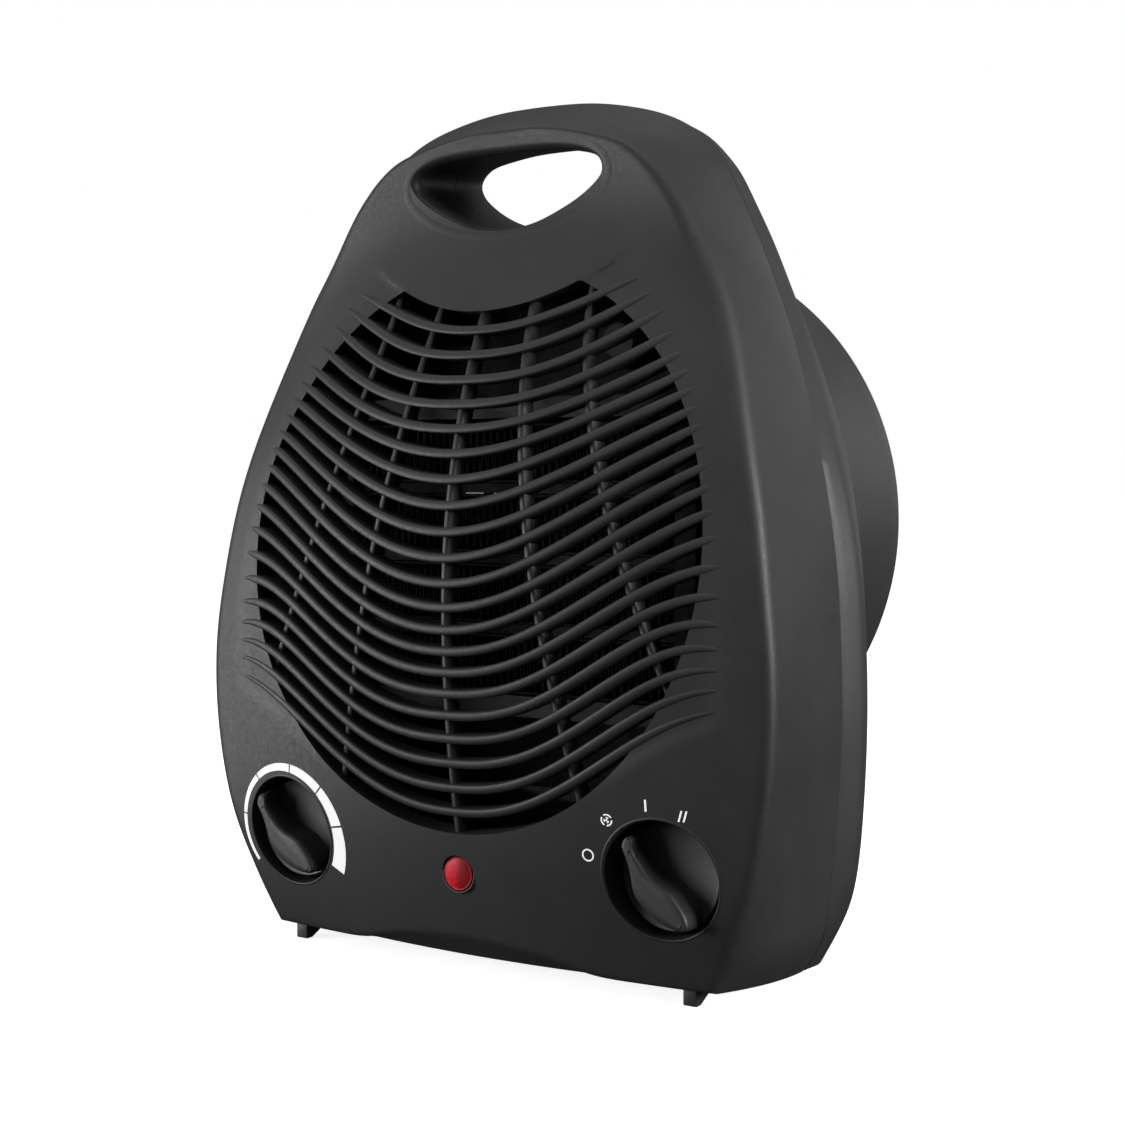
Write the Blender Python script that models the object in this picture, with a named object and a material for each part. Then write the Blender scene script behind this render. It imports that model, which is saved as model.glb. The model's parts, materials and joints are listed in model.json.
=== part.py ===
"""Portable ceramic fan heater: two moulded casings, two knobs, an axial fan and a PTC heating block.

Metres, +Z up, the front faces -Y. The origin is at the bottom centre of the bounding box.
Sizes below are written in millimetres and become metres where vertices are made.
"""

import math

import bmesh
import bpy
import numpy as np
from mathutils import Matrix, Vector

MM = 0.001
GAP = 0.3

# Driving dimensions, in millimetres
WALL = 2.5
PARTING_Y = -6.0
REAR_EDGE_Y = 2.0
BACK_Y = 10.5
TRIM_PAST = 3.0
CASING_CENTRE = (0, 118)
DRUM_Z = 127.3
DRUM_R = 87.2
DRUM_END_Y = 60.2
HANDLE_Z = 222.0
KNOB_X = 63.1
KNOB_Z = 35.3
KNOB_SKIRT_R = 15.4
KNOB_TOP_Y = -51.0
KNOB_PIVOT_Y = -43.0
SPINDLE_R = 2.9
WELL_R = 16.5
WELL_FLOOR_Y = -33.0
LAMP_Z = 30.2
LAMP_R = 4.9
BAR_COUNT = 21
TOP_LIP_Z = 187.7
TOP_LIP_BEND = 0.0085
BAR_DEPTH = 7.5
BAR_FRONT = 0.9
BAR_BACK = 1.5
BAR_PROUD = 0.45
RIB_SET_BACK = 3.2
OUTLET_Z = 122.0
OUTLET_HALF_WIDTH = 75.0
OUTLET_HALF_HEIGHT = 80.0
FLANGE_DEPTH = 8.0
HEATER_Z = 118.0
HEATER_HALF_HEIGHT = 40.0
FIN_BANK_HALF_WIDTH = 55.0
FIN_BANK_HEIGHT = 17.0
FIN_GAPS = 9
CERAMIC_HEIGHT = 2.8
FAN_PIVOT_Y = 17.0
FAN_BLADES = 5
SHAFT_R = 2.0
INTAKE_ROWS = (30, 42, 54, 66)
INTAKE_SLOT_HEIGHT = 8.5
INTAKE_SLOTS_PER_ROW = 10
FACE_SHIFT = -48.5

# Casing outlines as (x, z) stations up the right side, from the bottom corner to the crown
CREASE_SIDE = [(74.3, 4.6), (83.2, 23.3), (91.4, 47.6), (94.9, 79), (92.6, 110), (84.5, 152),
               (72.1, 188.9), (58.9, 212.7), (43.2, 230.6), (24, 238), (0, 240.3)]
PARTING_SIDE = [(85.3, 4.6), (92.2, 21.4), (94.3, 45), (96.2, 79), (94.9, 111), (88, 154),
                (76.4, 192.5), (66, 217), (53, 237), (29, 246.9), (0, 249.9)]
REAR_SIDE = [(86.2, 4.6), (94.6, 21.4), (98, 45), (99.2, 79), (98.2, 111), (89.5, 154),
             (76.2, 192.5), (65.5, 216), (52, 236.6), (29, 246.5), (0, 249.4)]
CREASE_BOTTOM = [(0, 10.6), (20, 9.2), (38, 5.3), (56, 4.6), (74.3, 4.6)]
FLAT_BOTTOM = [(0, 4.6), (20, 4.6), (40, 4.6), (62, 4.6), (85.3, 4.6)]
REAR_BOTTOM = [(0, 4.6), (20, 4.6), (40, 4.6), (62, 4.6), (86.2, 4.6)]

# Depth of the face along its edge, and how far its middle bulges forward of that, by height
FACE_EDGE = [(0, 9.3), (30, 3.5), (61, 1.5), (92, 1.6), (122, 3.9), (153, 9.0), (183, 16.9),
             (214, 20.4), (250, 20.3)]
FACE_BULGE = [(0, 4.8), (30, 5.9), (61, 9.6), (92, 12.7), (122, 14.5), (153, 13.8), (183, 10.8),
              (197, 5.2), (214, 0.4), (250, 0.4)]

# Half outlines of the handle opening, crown to bottom, at the face and at the back wall
HANDLE_FRONT = [(0, 233.7), (12, 233.5), (20, 232.9), (26.7, 231.6), (30.6, 229.6), (31.4, 226.8),
                (28.6, 222.8), (18.9, 217), (8.3, 212.8), (0, 211.9)]
HANDLE_BACK = [(0, 239.4), (12, 239), (22, 237.6), (29.7, 235), (32.3, 231.2), (31.4, 228.4),
               (28.6, 225.3), (17.4, 218.6), (8, 216.2), (0, 215.6)]

# Outline of a knob's leaf-shaped grip, with its pointer towards the first axis
GRIP = [(13.5, -3.1), (14.4, -0.5), (13.9, 1.1), (11.4, 2.6), (5.7, 6.1), (2.8, 8.3), (-1.4, 8.5),
        (-6.0, 7.8), (-10.4, 6.4), (-13.3, 4.5), (-14.5, 2.5), (-13.0, 1.1), (-7.5, -0.5), (4.4, 0.8),
        (7.9, 0.2), (11.0, -0.8)]

# Bars by number from the top: height in the middle, rise to the crest, distance out to it, and curve
BARS = [(0, 182.3, 17, 67, 1.12), (2, 168.2, 27, 84, 1.26), (5, 147.6, 36, 117, 0.99),
        (8, 126.1, 37, 105, 0.98), (11, 105.4, 38.5, 99, 1.01), (14, 87.5, 31, 83, 1.15),
        (17, 69, 28.5, 76.5, 1.29), (20, 48.1, 34, 86, 1.17)]

# How far out each bar's ridge runs over the face, by bar number from the top
TAIL_X = [(0, 50.1), (3, 62.2), (6, 69.4), (10, 75.6), (13, 80), (16, 83), (20, 83.4)]

# Grille ribs: distance from the middle at the top and at the bottom, curve, lowest and highest point
RIBS = [(0, 0, 1, 40, 190), (15.5, 40, 1.27, 51, 192), (33, 80, 1.4, 81, 197)]

# A front foot and a rear foot as (y, z) outlines, and how far each stands from the middle
TOE = [(-38.9, 0), (-36.2, 0), (-25.4, 5.8), (-38.9, 5.8)]
TOE_X = 67
HEEL = [(1, 7), (1, 0), (45, 0), (46, 1), (46, 7), (9.5, 38)]
HEEL_X = 58

# Screw and post places as (x, z). The casing and duct ones are repeated on the left.
CASING_SCREWS = [(43, 13), (81, 75), (55, 204)]
DUCT_POSTS = [(66, 188), (70, 56)]
SWITCH_SCREWS = [(KNOB_X - 9, KNOB_Z), (KNOB_X + 9, KNOB_Z)]
MOTOR_SCREWS = [(-21, DRUM_Z), (21, DRUM_Z)]
CLAMP_SCREWS = [(-9, 13), (9, 13)]
CORD_INLET = (0, 24)


# ---------------------------------------------------------------- shape helpers

def smooth(points):
    """A function through the points, with a continuous slope."""
    xs, ys = np.array(points, float).T
    slopes = np.gradient(ys, xs)

    def value(x):
        i = int(np.clip(np.searchsorted(xs, x) - 1, 0, len(xs) - 2))
        span = xs[i + 1] - xs[i]
        t = min(max((x - xs[i]) / span, 0.0), 1.0)
        rise = ys[i + 1] - ys[i]
        start, end = slopes[i] * span, slopes[i + 1] * span
        return ys[i] + t * (start + t * (3 * rise - 2 * start - end + t * (start + end - 2 * rise)))

    return value


def sampled(points, count):
    """Evenly spaced points along a smooth curve through the given ones, both ends included."""
    points = np.array(points, float)
    lengths = np.hypot(*np.diff(points, axis=0).T)
    along = np.concatenate([[0], np.cumsum(lengths)])
    across = [smooth(list(zip(along, points[:, axis]))) for axis in (0, 1)]
    return [(across[0](s), across[1](s)) for s in np.linspace(0, along[-1], count)]


def mirrored(half):
    """A closed outline from its right half, which runs from x = 0 to x = 0."""
    return half + [(-x, z) for x, z in reversed(half[1:-1])]


def casing_outline(bottom, side):
    return mirrored(sampled(bottom, 6)[:-1] + sampled(side, 18))


def offset(outline, distance):
    """The closed outline moved outward by a distance."""
    points = np.array(outline)
    along = np.roll(points, -1, axis=0) - np.roll(points, 1, axis=0)
    normals = np.stack([along[:, 1], -along[:, 0]], axis=1)
    normals /= np.linalg.norm(normals, axis=1, keepdims=True)
    area = np.sum(points[:, 0] * np.roll(points[:, 1], -1) - np.roll(points[:, 0], -1) * points[:, 1])
    return [tuple(p) for p in points + normals * distance * np.sign(area)]


def circle(x, z, radius, count):
    steps = [2 * math.pi * (i + 0.5) / count for i in range(count)]
    return [(x + radius * math.cos(a), z + radius * math.sin(a)) for a in steps]


FACE_EDGE_Y = smooth(FACE_EDGE)
FACE_BULGE_Y = smooth(FACE_BULGE)
CREASE_X = smooth([(z, x) for x, z in CREASE_SIDE])
BAR_SHAPE = [smooth([(row[0], row[column]) for row in BARS]) for column in (1, 2, 3, 4)]


def face_y(x, z):
    """Depth of the front face at a point: a flat margin with a dome in the middle."""
    across = min(abs(x) / max(CREASE_X(z), 1.0), 1.0)
    return FACE_SHIFT + FACE_EDGE_Y(z) - FACE_BULGE_Y(z) * (1 - across**2) ** 1.1


def bar_z(bar, x):
    """Height of a grille bar's centre line: half a wave that dips in the middle. Bar 0 is on top."""
    middle, rise, reach, power = [value(bar) for value in BAR_SHAPE]
    return middle + rise / 2 * (1 - math.cos(math.pi * (abs(x) / reach) ** power))


def lip_z(x):
    """Height of the outlet's top lip."""
    return TOP_LIP_Z + TOP_LIP_BEND * x**2


def in_ellipse(x, z):
    return (x / OUTLET_HALF_WIDTH) ** 2 + ((z - OUTLET_Z) / OUTLET_HALF_HEIGHT) ** 2 < 1


def outlet_outline():
    """An ellipse cut off along its top by the lip."""
    corner = next(x for x in np.arange(20, 60, 0.1) if not in_ellipse(x, lip_z(x)))
    top = [(x, lip_z(x)) for x in np.linspace(-corner, corner, 7)]
    start = math.asin((top[-1][1] - OUTLET_Z) / OUTLET_HALF_HEIGHT)
    turns = np.linspace(start, -math.pi - start, 30)[1:-1]
    sides = [(OUTLET_HALF_WIDTH * math.cos(a), OUTLET_Z + OUTLET_HALF_HEIGHT * math.sin(a)) for a in turns]
    return top + sides


# ---------------------------------------------------------------- objects

def clear_scene():
    for obj in list(bpy.data.objects):
        bpy.data.objects.remove(obj)


def material(name, colour, roughness, metallic=0.0):
    made = bpy.data.materials.new(name)
    made.use_nodes = True
    shader = made.node_tree.nodes["Principled BSDF"]
    shader.inputs["Base Color"].default_value = (*colour, 1.0)
    shader.inputs["Roughness"].default_value = roughness
    shader.inputs["Metallic"].default_value = metallic
    return made


def add_object(name, bm, finish=None):
    """Makes an object from a bmesh in millimetres. Without a finish it is a hidden helper."""
    bmesh.ops.scale(bm, vec=(MM, MM, MM), verts=bm.verts)
    mesh = bpy.data.meshes.new(name)
    bm.to_mesh(mesh)
    bm.free()
    obj = bpy.data.objects.new(name, mesh)
    bpy.context.scene.collection.objects.link(obj)
    if finish:
        mesh.materials.append(finish)
        mesh.shade_smooth()
        mesh.set_sharp_from_angle(angle=math.radians(35))
    else:
        obj.hide_render = True
        obj.display_type = "WIRE"
    return obj


def boolean(target, other, operation):
    modifier = target.modifiers.new(other.name, "BOOLEAN")
    modifier.operation = operation
    modifier.object = other
    modifier.solver = "EXACT"


def cut(target, *cutters):
    for cutter in cutters:
        boolean(target, cutter, "DIFFERENCE")


def join(target, *additions):
    for addition in additions:
        boolean(target, addition, "UNION")


def add_ring(bm, points):
    return [bm.verts.new(p) for p in points]


def bridge(bm, first, second):
    count = len(first)
    return [bm.faces.new((first[i], first[(i + 1) % count], second[(i + 1) % count], second[i]))
            for i in range(count)]


def face_outward(bm, faces):
    """Turns the faces of one closed solid so that they point out."""
    volume = 0.0
    for face in faces:
        corners = [v.co for v in face.verts]
        volume += sum(corners[0].dot(b.cross(c)) for b, c in zip(corners[1:], corners[2:]))
    if volume < 0:
        bmesh.ops.reverse_faces(bm, faces=faces)


def loft_into(bm, rings):
    """A closed solid through rings of points, capped at both ends."""
    made = [add_ring(bm, ring) for ring in rings]
    faces = [face for first, second in zip(made, made[1:]) for face in bridge(bm, first, second)]
    faces.append(bm.faces.new(list(reversed(made[0]))))
    faces.append(bm.faces.new(made[-1]))
    face_outward(bm, faces)


def loft(name, rings, finish=None):
    bm = bmesh.new()
    loft_into(bm, rings)
    return add_object(name, bm, finish)


def prism(name, outline, y_from, y_to, finish=None):
    """An (x, z) outline extruded along Y. Either end may be a function of (x, z)."""
    def depth(end, x, z):
        return end(x, z) if callable(end) else end
    rings = [[(x, depth(end, x, z), z) for x, z in outline] for end in (y_from, y_to)]
    return loft(name, rings, finish)


def box_into(bm, low, high):
    matrix = Matrix.Translation((Vector(low) + Vector(high)) / 2)
    size = Vector(high) - Vector(low)
    bmesh.ops.create_cube(bm, size=1, matrix=matrix @ Matrix.Diagonal((*size, 1)))


def box(name, low, high, finish=None):
    bm = bmesh.new()
    box_into(bm, low, high)
    return add_object(name, bm, finish)


def boxes(name, corners, finish=None):
    """Several separate boxes in one object, used as one cutter."""
    bm = bmesh.new()
    for low, high in corners:
        box_into(bm, low, high)
    return add_object(name, bm, finish)


def rod(name, x, z, radius, y_from, y_to, finish=None, sides=16):
    return prism(name, circle(x, z, radius, sides), y_from, y_to, finish)


def rods(name, places, radius, y_from, y_to, sides=12):
    """Several separate round cutters or posts along Y in one object."""
    bm = bmesh.new()
    for x, z in places:
        start, end = [e(x, z) if callable(e) else e for e in (y_from, y_to)]
        loft_into(bm, [[(px, y, pz) for px, pz in circle(x, z, radius, sides)] for y in (start, end)])
    return add_object(name, bm)


def turned(name, x, z, profile, finish, sides=24):
    """A ring-shaped solid turned about a line along Y. The profile is a closed list of (radius, y)."""
    bm = bmesh.new()
    stations = [2 * math.pi * i / sides for i in range(sides)]
    rings = [add_ring(bm, [(x + r * math.cos(a), y, z + r * math.sin(a)) for r, y in profile])
             for a in stations]
    faces = [face for i in range(sides) for face in bridge(bm, rings[i], rings[(i + 1) % sides])]
    face_outward(bm, faces)
    return add_object(name, bm, finish)


def screw(name, x, z, head_y, tip_y, finish, shank=1.5, head=2.9, head_height=2.0):
    """A pan-head screw along Y, with a slot across its head."""
    outward = 1 if head_y > tip_y else -1
    top = head_y + outward * head_height
    rings = [(shank * 0.6, tip_y), (shank, tip_y + outward * 1.5), (shank, head_y), (head, head_y),
             (head * 0.85, top)]
    made = loft(name, [[(px, y, pz) for px, pz in circle(x, z, r, 10)] for r, y in rings], finish)
    ends = sorted((top - outward * 0.9, top + outward))
    cut(made, box(name + "_slot", (x - 4, ends[0], z - 0.4), (x + 4, ends[1], z + 0.4)))


def both_sides(places):
    return [(side * x, z) for x, z in places for side in (-1, 1)]


# ---------------------------------------------------------------- casings

def shell(name, rows, centre, finish):
    """A wall of even thickness behind rows of points. The first row shrinks to the centre point."""
    bm = bmesh.new()
    middle = bm.verts.new(centre)
    made = [add_ring(bm, row) for row in rows]
    count = len(made[0])
    for i in range(count):
        bm.faces.new((middle, made[0][i], made[0][(i + 1) % count]))
    for first, second in zip(made, made[1:]):
        bridge(bm, first, second)
    bmesh.ops.recalc_face_normals(bm, faces=bm.faces)
    obj = add_object(name, bm, finish)
    solid = obj.modifiers.new("wall", "SOLIDIFY")
    solid.thickness = WALL * MM
    solid.offset = -1
    solid.use_even_offset = True
    return obj


def front_shell(finish):
    centre = CASING_CENTRE
    crease = casing_outline(CREASE_BOTTOM, CREASE_SIDE)
    parting = casing_outline(FLAT_BOTTOM, PARTING_SIDE)
    rows = []
    for share in (0.45, 0.62, 0.7, 0.78, 0.87, 0.965, 1.0):
        row = [(x * share, centre[1] + (z - centre[1]) * share) for x, z in crease]
        rows.append([(x, face_y(x, z), z) for x, z in row])
    for share in (0.15, 0.33, 0.65, 1.0):
        row = []
        for (a, b), (c, d) in zip(crease, parting):
            flare = share**1.5
            drop = min(1.0, 3 * share) if b < 11 else flare
            depth = face_y(a, b) + (PARTING_Y - GAP - face_y(a, b)) * share
            row.append((a + (c - a) * flare, depth, b + (d - b) * drop))
        rows.append(row)
    rows.append([(x, TRIM_PAST - GAP + y, z) for x, y, z in rows[-1]])
    return shell("front_casing", rows, (0, face_y(*centre), centre[1]), finish)


def rear_shell(finish):
    centre = CASING_CENTRE
    parting = casing_outline(FLAT_BOTTOM, PARTING_SIDE)
    edge = casing_outline(REAR_BOTTOM, REAR_SIDE)
    inset = smooth([(0, 6), (60, 8.5), (190, 8), (250, 4.5)])
    rows = [[(x, PARTING_Y - TRIM_PAST, z) for x, z in parting], [(x, PARTING_Y, z) for x, z in parting],
            [(x, REAR_EDGE_Y, z) for x, z in edge]]
    for angle in (35, 65, 90):
        turn = math.radians(angle)
        row = []
        for x, z in edge:
            reach = math.hypot(x - centre[0], z - centre[1])
            share = 1 - inset(z) * (1 - math.cos(turn)) / reach
            depth = REAR_EDGE_Y + (BACK_Y - REAR_EDGE_Y) * math.sin(turn)
            row.append((x * share, depth, centre[1] + (z - centre[1]) * share))
        rows.append(row)
    rows.append([(x * 0.6, BACK_Y, centre[1] + (z - centre[1]) * 0.6) for x, y, z in rows[-1]])
    return shell("rear_casing", list(reversed(rows)), (0, BACK_Y, centre[1]), finish)


def handle_outlines():
    """A function that gives the handle opening's outline at a depth, moved outward by a distance."""
    front = mirrored(sampled(HANDLE_FRONT, 15))
    back = mirrored(sampled(HANDLE_BACK, 15))
    start = face_y(0, HANDLE_Z)

    def at(y, grow):
        share = (y - start) / (BACK_Y - start)
        blend = [(a + (c - a) * share, b + (d - b) * share) for (a, b), (c, d) in zip(front, back)]
        return [(x, y, z) for x, z in offset(blend, grow)]

    return at


def grille_bars():
    """The bars. Outside the outlet each one thins to a ridge that sinks into the face."""
    bm = bmesh.new()
    tail_x = smooth(TAIL_X)
    for bar in range(BAR_COUNT):
        edge = next(x for x in np.arange(20, 80, 0.5) if not in_ellipse(x, bar_z(bar, x))) + 2.5
        tail = max(tail_x(bar), edge + 2)
        stations = [-tail, *np.linspace(-edge, edge, 9), tail]
        rings = []
        for x in stations:
            z, y = bar_z(bar, x), face_y(x, bar_z(bar, x)) - BAR_PROUD
            front, back, depth = BAR_FRONT, BAR_BACK, BAR_DEPTH
            if abs(x) > edge:
                front, back, depth, y = 0.5, 0.8, 1.2, y + BAR_PROUD + 0.5
            rings.append([(x, y, z - front), (x, y, z + front), (x, y + depth, z + back),
                          (x, y + depth, z - back)])
        loft_into(bm, rings)
    return add_object("grille_bars", bm)


def rib_x(inner, outer, power, z):
    share = min(max((190 - z) / 135, 0), 1.1)
    return inner + (outer - inner) * share**power


def grille_ribs():
    """Five upright ribs that spread downward, set back behind the bars' fronts."""
    bm = bmesh.new()
    for inner, outer, power, low, high in RIBS:
        for side in ((0,) if outer == 0 else (-1, 1)):
            rings = []
            for z in np.linspace(low, high, 5):
                x = side * rib_x(inner, outer, power, z)
                y = face_y(x, z) + RIB_SET_BACK
                rings.append([(x - 1.1, y, z), (x + 1.1, y, z), (x + 1.1, y + 3.6, z), (x - 1.1, y + 3.6, z)])
            loft_into(bm, rings)
    return add_object("grille_ribs", bm)


def foot(name, x, half_width, outline):
    """A fin in the YZ plane, extruded along X."""
    return loft(name, [[(x + s * half_width, y, z) for y, z in outline] for s in (-1, 1)])


def front_casing(finish):
    casing = front_shell(finish)
    cut(casing, box("front_trim", (-120, PARTING_Y - GAP, -10), (120, 40, 270)))
    behind_face = lambda x, z: face_y(x, z) + 1.2
    outlet = outlet_outline()
    behind_bars = lambda x, z: face_y(x, z) + FLANGE_DEPTH
    join(casing, prism("outlet_flange", offset(outlet, 2.2), behind_face, behind_bars))
    cut(casing, prism("outlet_hole", outlet, -75, -20))
    join(casing, grille_bars())
    casing.modifiers["grille_bars"].use_self = True
    join(casing, grille_ribs())
    handle = handle_outlines()
    front_ring = [(x, face_y(x, z) + 1.5, z) for x, y, z in handle(face_y(0, HANDLE_Z) + 1.5, WALL)]
    end = PARTING_Y - GAP
    join(casing, loft("front_tunnel", [front_ring, handle(end, WALL)]))
    cut(casing, loft("front_tunnel_hole", [handle(-44, 0), handle(end + 4, 0)]))
    for side in (-1, 1):
        x = side * KNOB_X
        join(casing, rod(f"well_{side}", x, KNOB_Z, WELL_R + 2, behind_face, WELL_FLOOR_Y + WALL, sides=28))
        cut(casing, rod(f"well_hole_{side}", x, KNOB_Z, WELL_R, -60, WELL_FLOOR_Y, sides=28))
        cut(casing, rod(f"spindle_hole_{side}", x, KNOB_Z, 4.3, -36, -25, sides=16))
    join(casing, rod("lamp_tube", 0, LAMP_Z, LAMP_R + 1.8, behind_face, face_y(0, LAMP_Z) + 9, sides=20))
    cut(casing, rod("lamp_hole", 0, LAMP_Z, LAMP_R + 0.3, -60, -30, sides=20))
    cut(casing, rods("switch_screw_holes", SWITCH_SCREWS, 1.8, -36, -25))
    bosses = rods("front_bosses", both_sides(CASING_SCREWS), 4, behind_face, PARTING_Y - GAP - 0.5)
    join(casing, bosses)
    cut(casing, rods("front_boss_holes", both_sides(CASING_SCREWS), 1.8, -26, 0))
    join(casing, foot("front_foot_right", TOE_X, 2.1, TOE), foot("front_foot_left", -TOE_X, 2.1, TOE))
    return casing


def intake_slots():
    """Rows of curved slots in the drum's end."""
    bm = bmesh.new()
    step = 2 * math.pi / INTAKE_SLOTS_PER_ROW
    for inner in INTAKE_ROWS:
        for i in range(INTAKE_SLOTS_PER_ROW):
            middle, half = (i + 0.5) * step, step / 2 - 1.6 / (inner + INTAKE_SLOT_HEIGHT / 2)
            turns = np.linspace(middle - half, middle + half, 4)
            arc = [(r * math.cos(a), DRUM_Z + r * math.sin(a)) for r, row in
                   ((inner, turns), (inner + INTAKE_SLOT_HEIGHT, turns[::-1])) for a in row]
            loft_into(bm, [[(x, y, z) for x, z in arc] for y in (DRUM_END_Y - 8, DRUM_END_Y + 4)])
    return add_object("intake_slots", bm)


def rear_casing(finish):
    casing = rear_shell(finish)
    cut(casing, box("rear_trim", (-120, -60, -10), (120, PARTING_Y, 270)))
    drum = [(DRUM_R + 0.8, BACK_Y - 2), (DRUM_R, DRUM_END_Y - 3), (DRUM_R - 0.9, DRUM_END_Y - 0.8),
            (DRUM_R - 3, DRUM_END_Y)]
    join(casing, loft("drum", [[(x, y, z) for x, z in circle(0, DRUM_Z, r, 48)] for r, y in drum]))
    handle = handle_outlines()
    join(casing, loft("rear_tunnel", [handle(PARTING_Y, WALL), handle(BACK_Y - 1, WALL)]))
    cut(casing, rod("drum_inside", 0, DRUM_Z, DRUM_R - WALL, 5, DRUM_END_Y - 2.6, sides=48))
    cut(casing, loft("rear_tunnel_hole", [handle(PARTING_Y - 4, 0), handle(BACK_Y + 6, 0)]))
    cut(casing, intake_slots())
    join(casing, rods("motor_posts", MOTOR_SCREWS, 3.6, 51.3, DRUM_END_Y - 1.5))
    cut(casing, rods("motor_post_holes", MOTOR_SCREWS, 1.8, 50, DRUM_END_Y - 1.6))
    join(casing, rods("rear_bosses", both_sides(CASING_SCREWS), 4.2, PARTING_Y, BACK_Y - 1))
    cut(casing, rods("rear_boss_holes", both_sides(CASING_SCREWS), 1.9, -10, 20))
    cut(casing, rods("head_recesses", both_sides(CASING_SCREWS), 3.3, 6, 20))
    join(casing, rods("duct_posts", both_sides(DUCT_POSTS), 3.4, -5, BACK_Y - 1))
    cut(casing, rods("duct_post_holes", both_sides(DUCT_POSTS), 1.8, -8, 5))
    cut(casing, rod("inlet_hole", *CORD_INLET, 5.2, 0, 20, sides=16))
    join(casing, rods("clamp_posts", CLAMP_SCREWS, 2.8, 0, BACK_Y - 1))
    cut(casing, rods("clamp_post_holes", CLAMP_SCREWS, 1.5, -2, 6))
    join(casing, foot("rear_foot_right", HEEL_X, 2.5, HEEL), foot("rear_foot_left", -HEEL_X, 2.5, HEEL))
    return casing


# ---------------------------------------------------------------- controls and lamp

def place_origin(obj, point):
    """Moves the object's origin onto a point in millimetres without moving its shape."""
    shift = Vector(point) * MM
    obj.data.transform(Matrix.Translation(-shift))
    obj.location = shift


def knob(name, x, pointer, finish):
    """A skirt, a leaf-shaped grip and a round socket for the spindle. Its origin is on its axis."""
    turn = math.radians(pointer)
    cosine, sine = math.cos(turn), math.sin(turn)
    grip = [(x + a * cosine - b * sine, KNOB_Z + a * sine + b * cosine) for a, b in GRIP]
    profile = [(KNOB_SKIRT_R, -35.8), (KNOB_SKIRT_R, -40.6), (KNOB_SKIRT_R - 1, -41.6)]
    skirt = loft(name, [[(px, y, pz) for px, pz in circle(x, KNOB_Z, r, 28)] for r, y in profile], finish)
    join(skirt, prism(name + "_grip", grip, -40, KNOB_TOP_Y))
    cut(skirt, rod(name + "_socket", x, KNOB_Z, SPINDLE_R + 0.4, -34, -40.2, sides=12))
    place_origin(skirt, (x, KNOB_PIVOT_Y, KNOB_Z))


def spindle(name, x, tip_y, finish):
    made = rod(name, x, KNOB_Z, SPINDLE_R, -39.8, tip_y, finish, sides=12)
    place_origin(made, (x, KNOB_PIVOT_Y, KNOB_Z))


def rotary_switch(body, metal):
    x = KNOB_X
    switch = box("rotary_switch_body", (x - 12.5, -30.2, KNOB_Z - 11), (x + 12.5, -12, KNOB_Z + 11), body)
    join(switch, boxes("switch_terminals", [
        ((x + dx - 2.2, -12.5, KNOB_Z + dz - 0.4), (x + dx + 2.2, -5, KNOB_Z + dz + 0.4))
        for dx in (-7, 7) for dz in (-7, 7)]))
    cut(switch, rod("switch_bore", x, KNOB_Z, 3.4, -32, -19, sides=16))
    cut(switch, rods("switch_screw_bores", SWITCH_SCREWS, 1.8, -32, -20))
    for side, (screw_x, z) in zip(("inner", "outer"), SWITCH_SCREWS):
        screw(f"switch_screw_{side}", screw_x, z, -33.3, -23, metal, head_height=1.8)
    spindle("selector_spindle", x, -19.6, metal)


def thermostat(ceramic, metal, brass):
    x = -KNOB_X
    frame = box("thermostat_frame", (x - 12, -28.6, KNOB_Z - 7), (x + 12, -24.5, KNOB_Z + 7), ceramic)
    join(frame, rod("thermostat_collar", x, KNOB_Z, 4.0, -35.4, -28, sides=16))
    join(frame, rod("thermostat_shoulder", x, KNOB_Z, 6.5, -30.2, -28, sides=16))
    join(frame, box("thermostat_stack", (x + 7, -25, KNOB_Z - 4), (x + 12, -10, KNOB_Z + 4)))
    cut(frame, rod("thermostat_bore", x, KNOB_Z, 3.3, -38, -20, sides=16))
    strip = [(x - 14, -19.4), (x - 10, -18.2), (x - 2, -17.6), (x + 6.7, -17.6), (x + 6.7, -16.8),
             (x - 2, -16.8), (x - 10, -17.4), (x - 14, -18.6)]
    loft("thermostat_bimetal", [[(px, y, KNOB_Z + s * 3) for px, y in strip] for s in (-1, 1)], metal)
    arm = [(x - 14, -14.6), (x - 11, -13.6), (x + 6.7, -13.6), (x + 6.7, -13), (x - 11, -13), (x - 14, -14)]
    loft("thermostat_contact_arm", [[(px, y, KNOB_Z + s * 2) for px, y in arm] for s in (-1, 1)], brass)
    turned("thermostat_nut", x, KNOB_Z, [(4.9, -35.2), (7, -35.2), (7, -33.3), (4.9, -33.3)], brass, sides=6)
    spindle("thermostat_spindle", x, -20.4, metal)


def indicator(lens_finish, glass):
    y = face_y(0, LAMP_Z)
    profile = [(LAMP_R, y + 6), (LAMP_R, y + 0.3), (4.2, y - 0.6), (2.4, y - 1.2)]
    lens = loft("indicator_lens", [[(px, d, pz) for px, pz in circle(0, LAMP_Z, r, 20)]
                                   for r, d in profile], lens_finish)
    cut(lens, rod("lens_inside", 0, LAMP_Z, 3.4, y + 1.5, y + 8, sides=16))
    bulb = [(1.2, y + 2.4), (2.6, y + 4), (2.8, y + 12), (1.6, y + 14)]
    loft("indicator_lamp", [[(px, d, pz) for px, pz in circle(0, LAMP_Z, r, 14)] for r, d in bulb], glass)


# ---------------------------------------------------------------- heater

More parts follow.
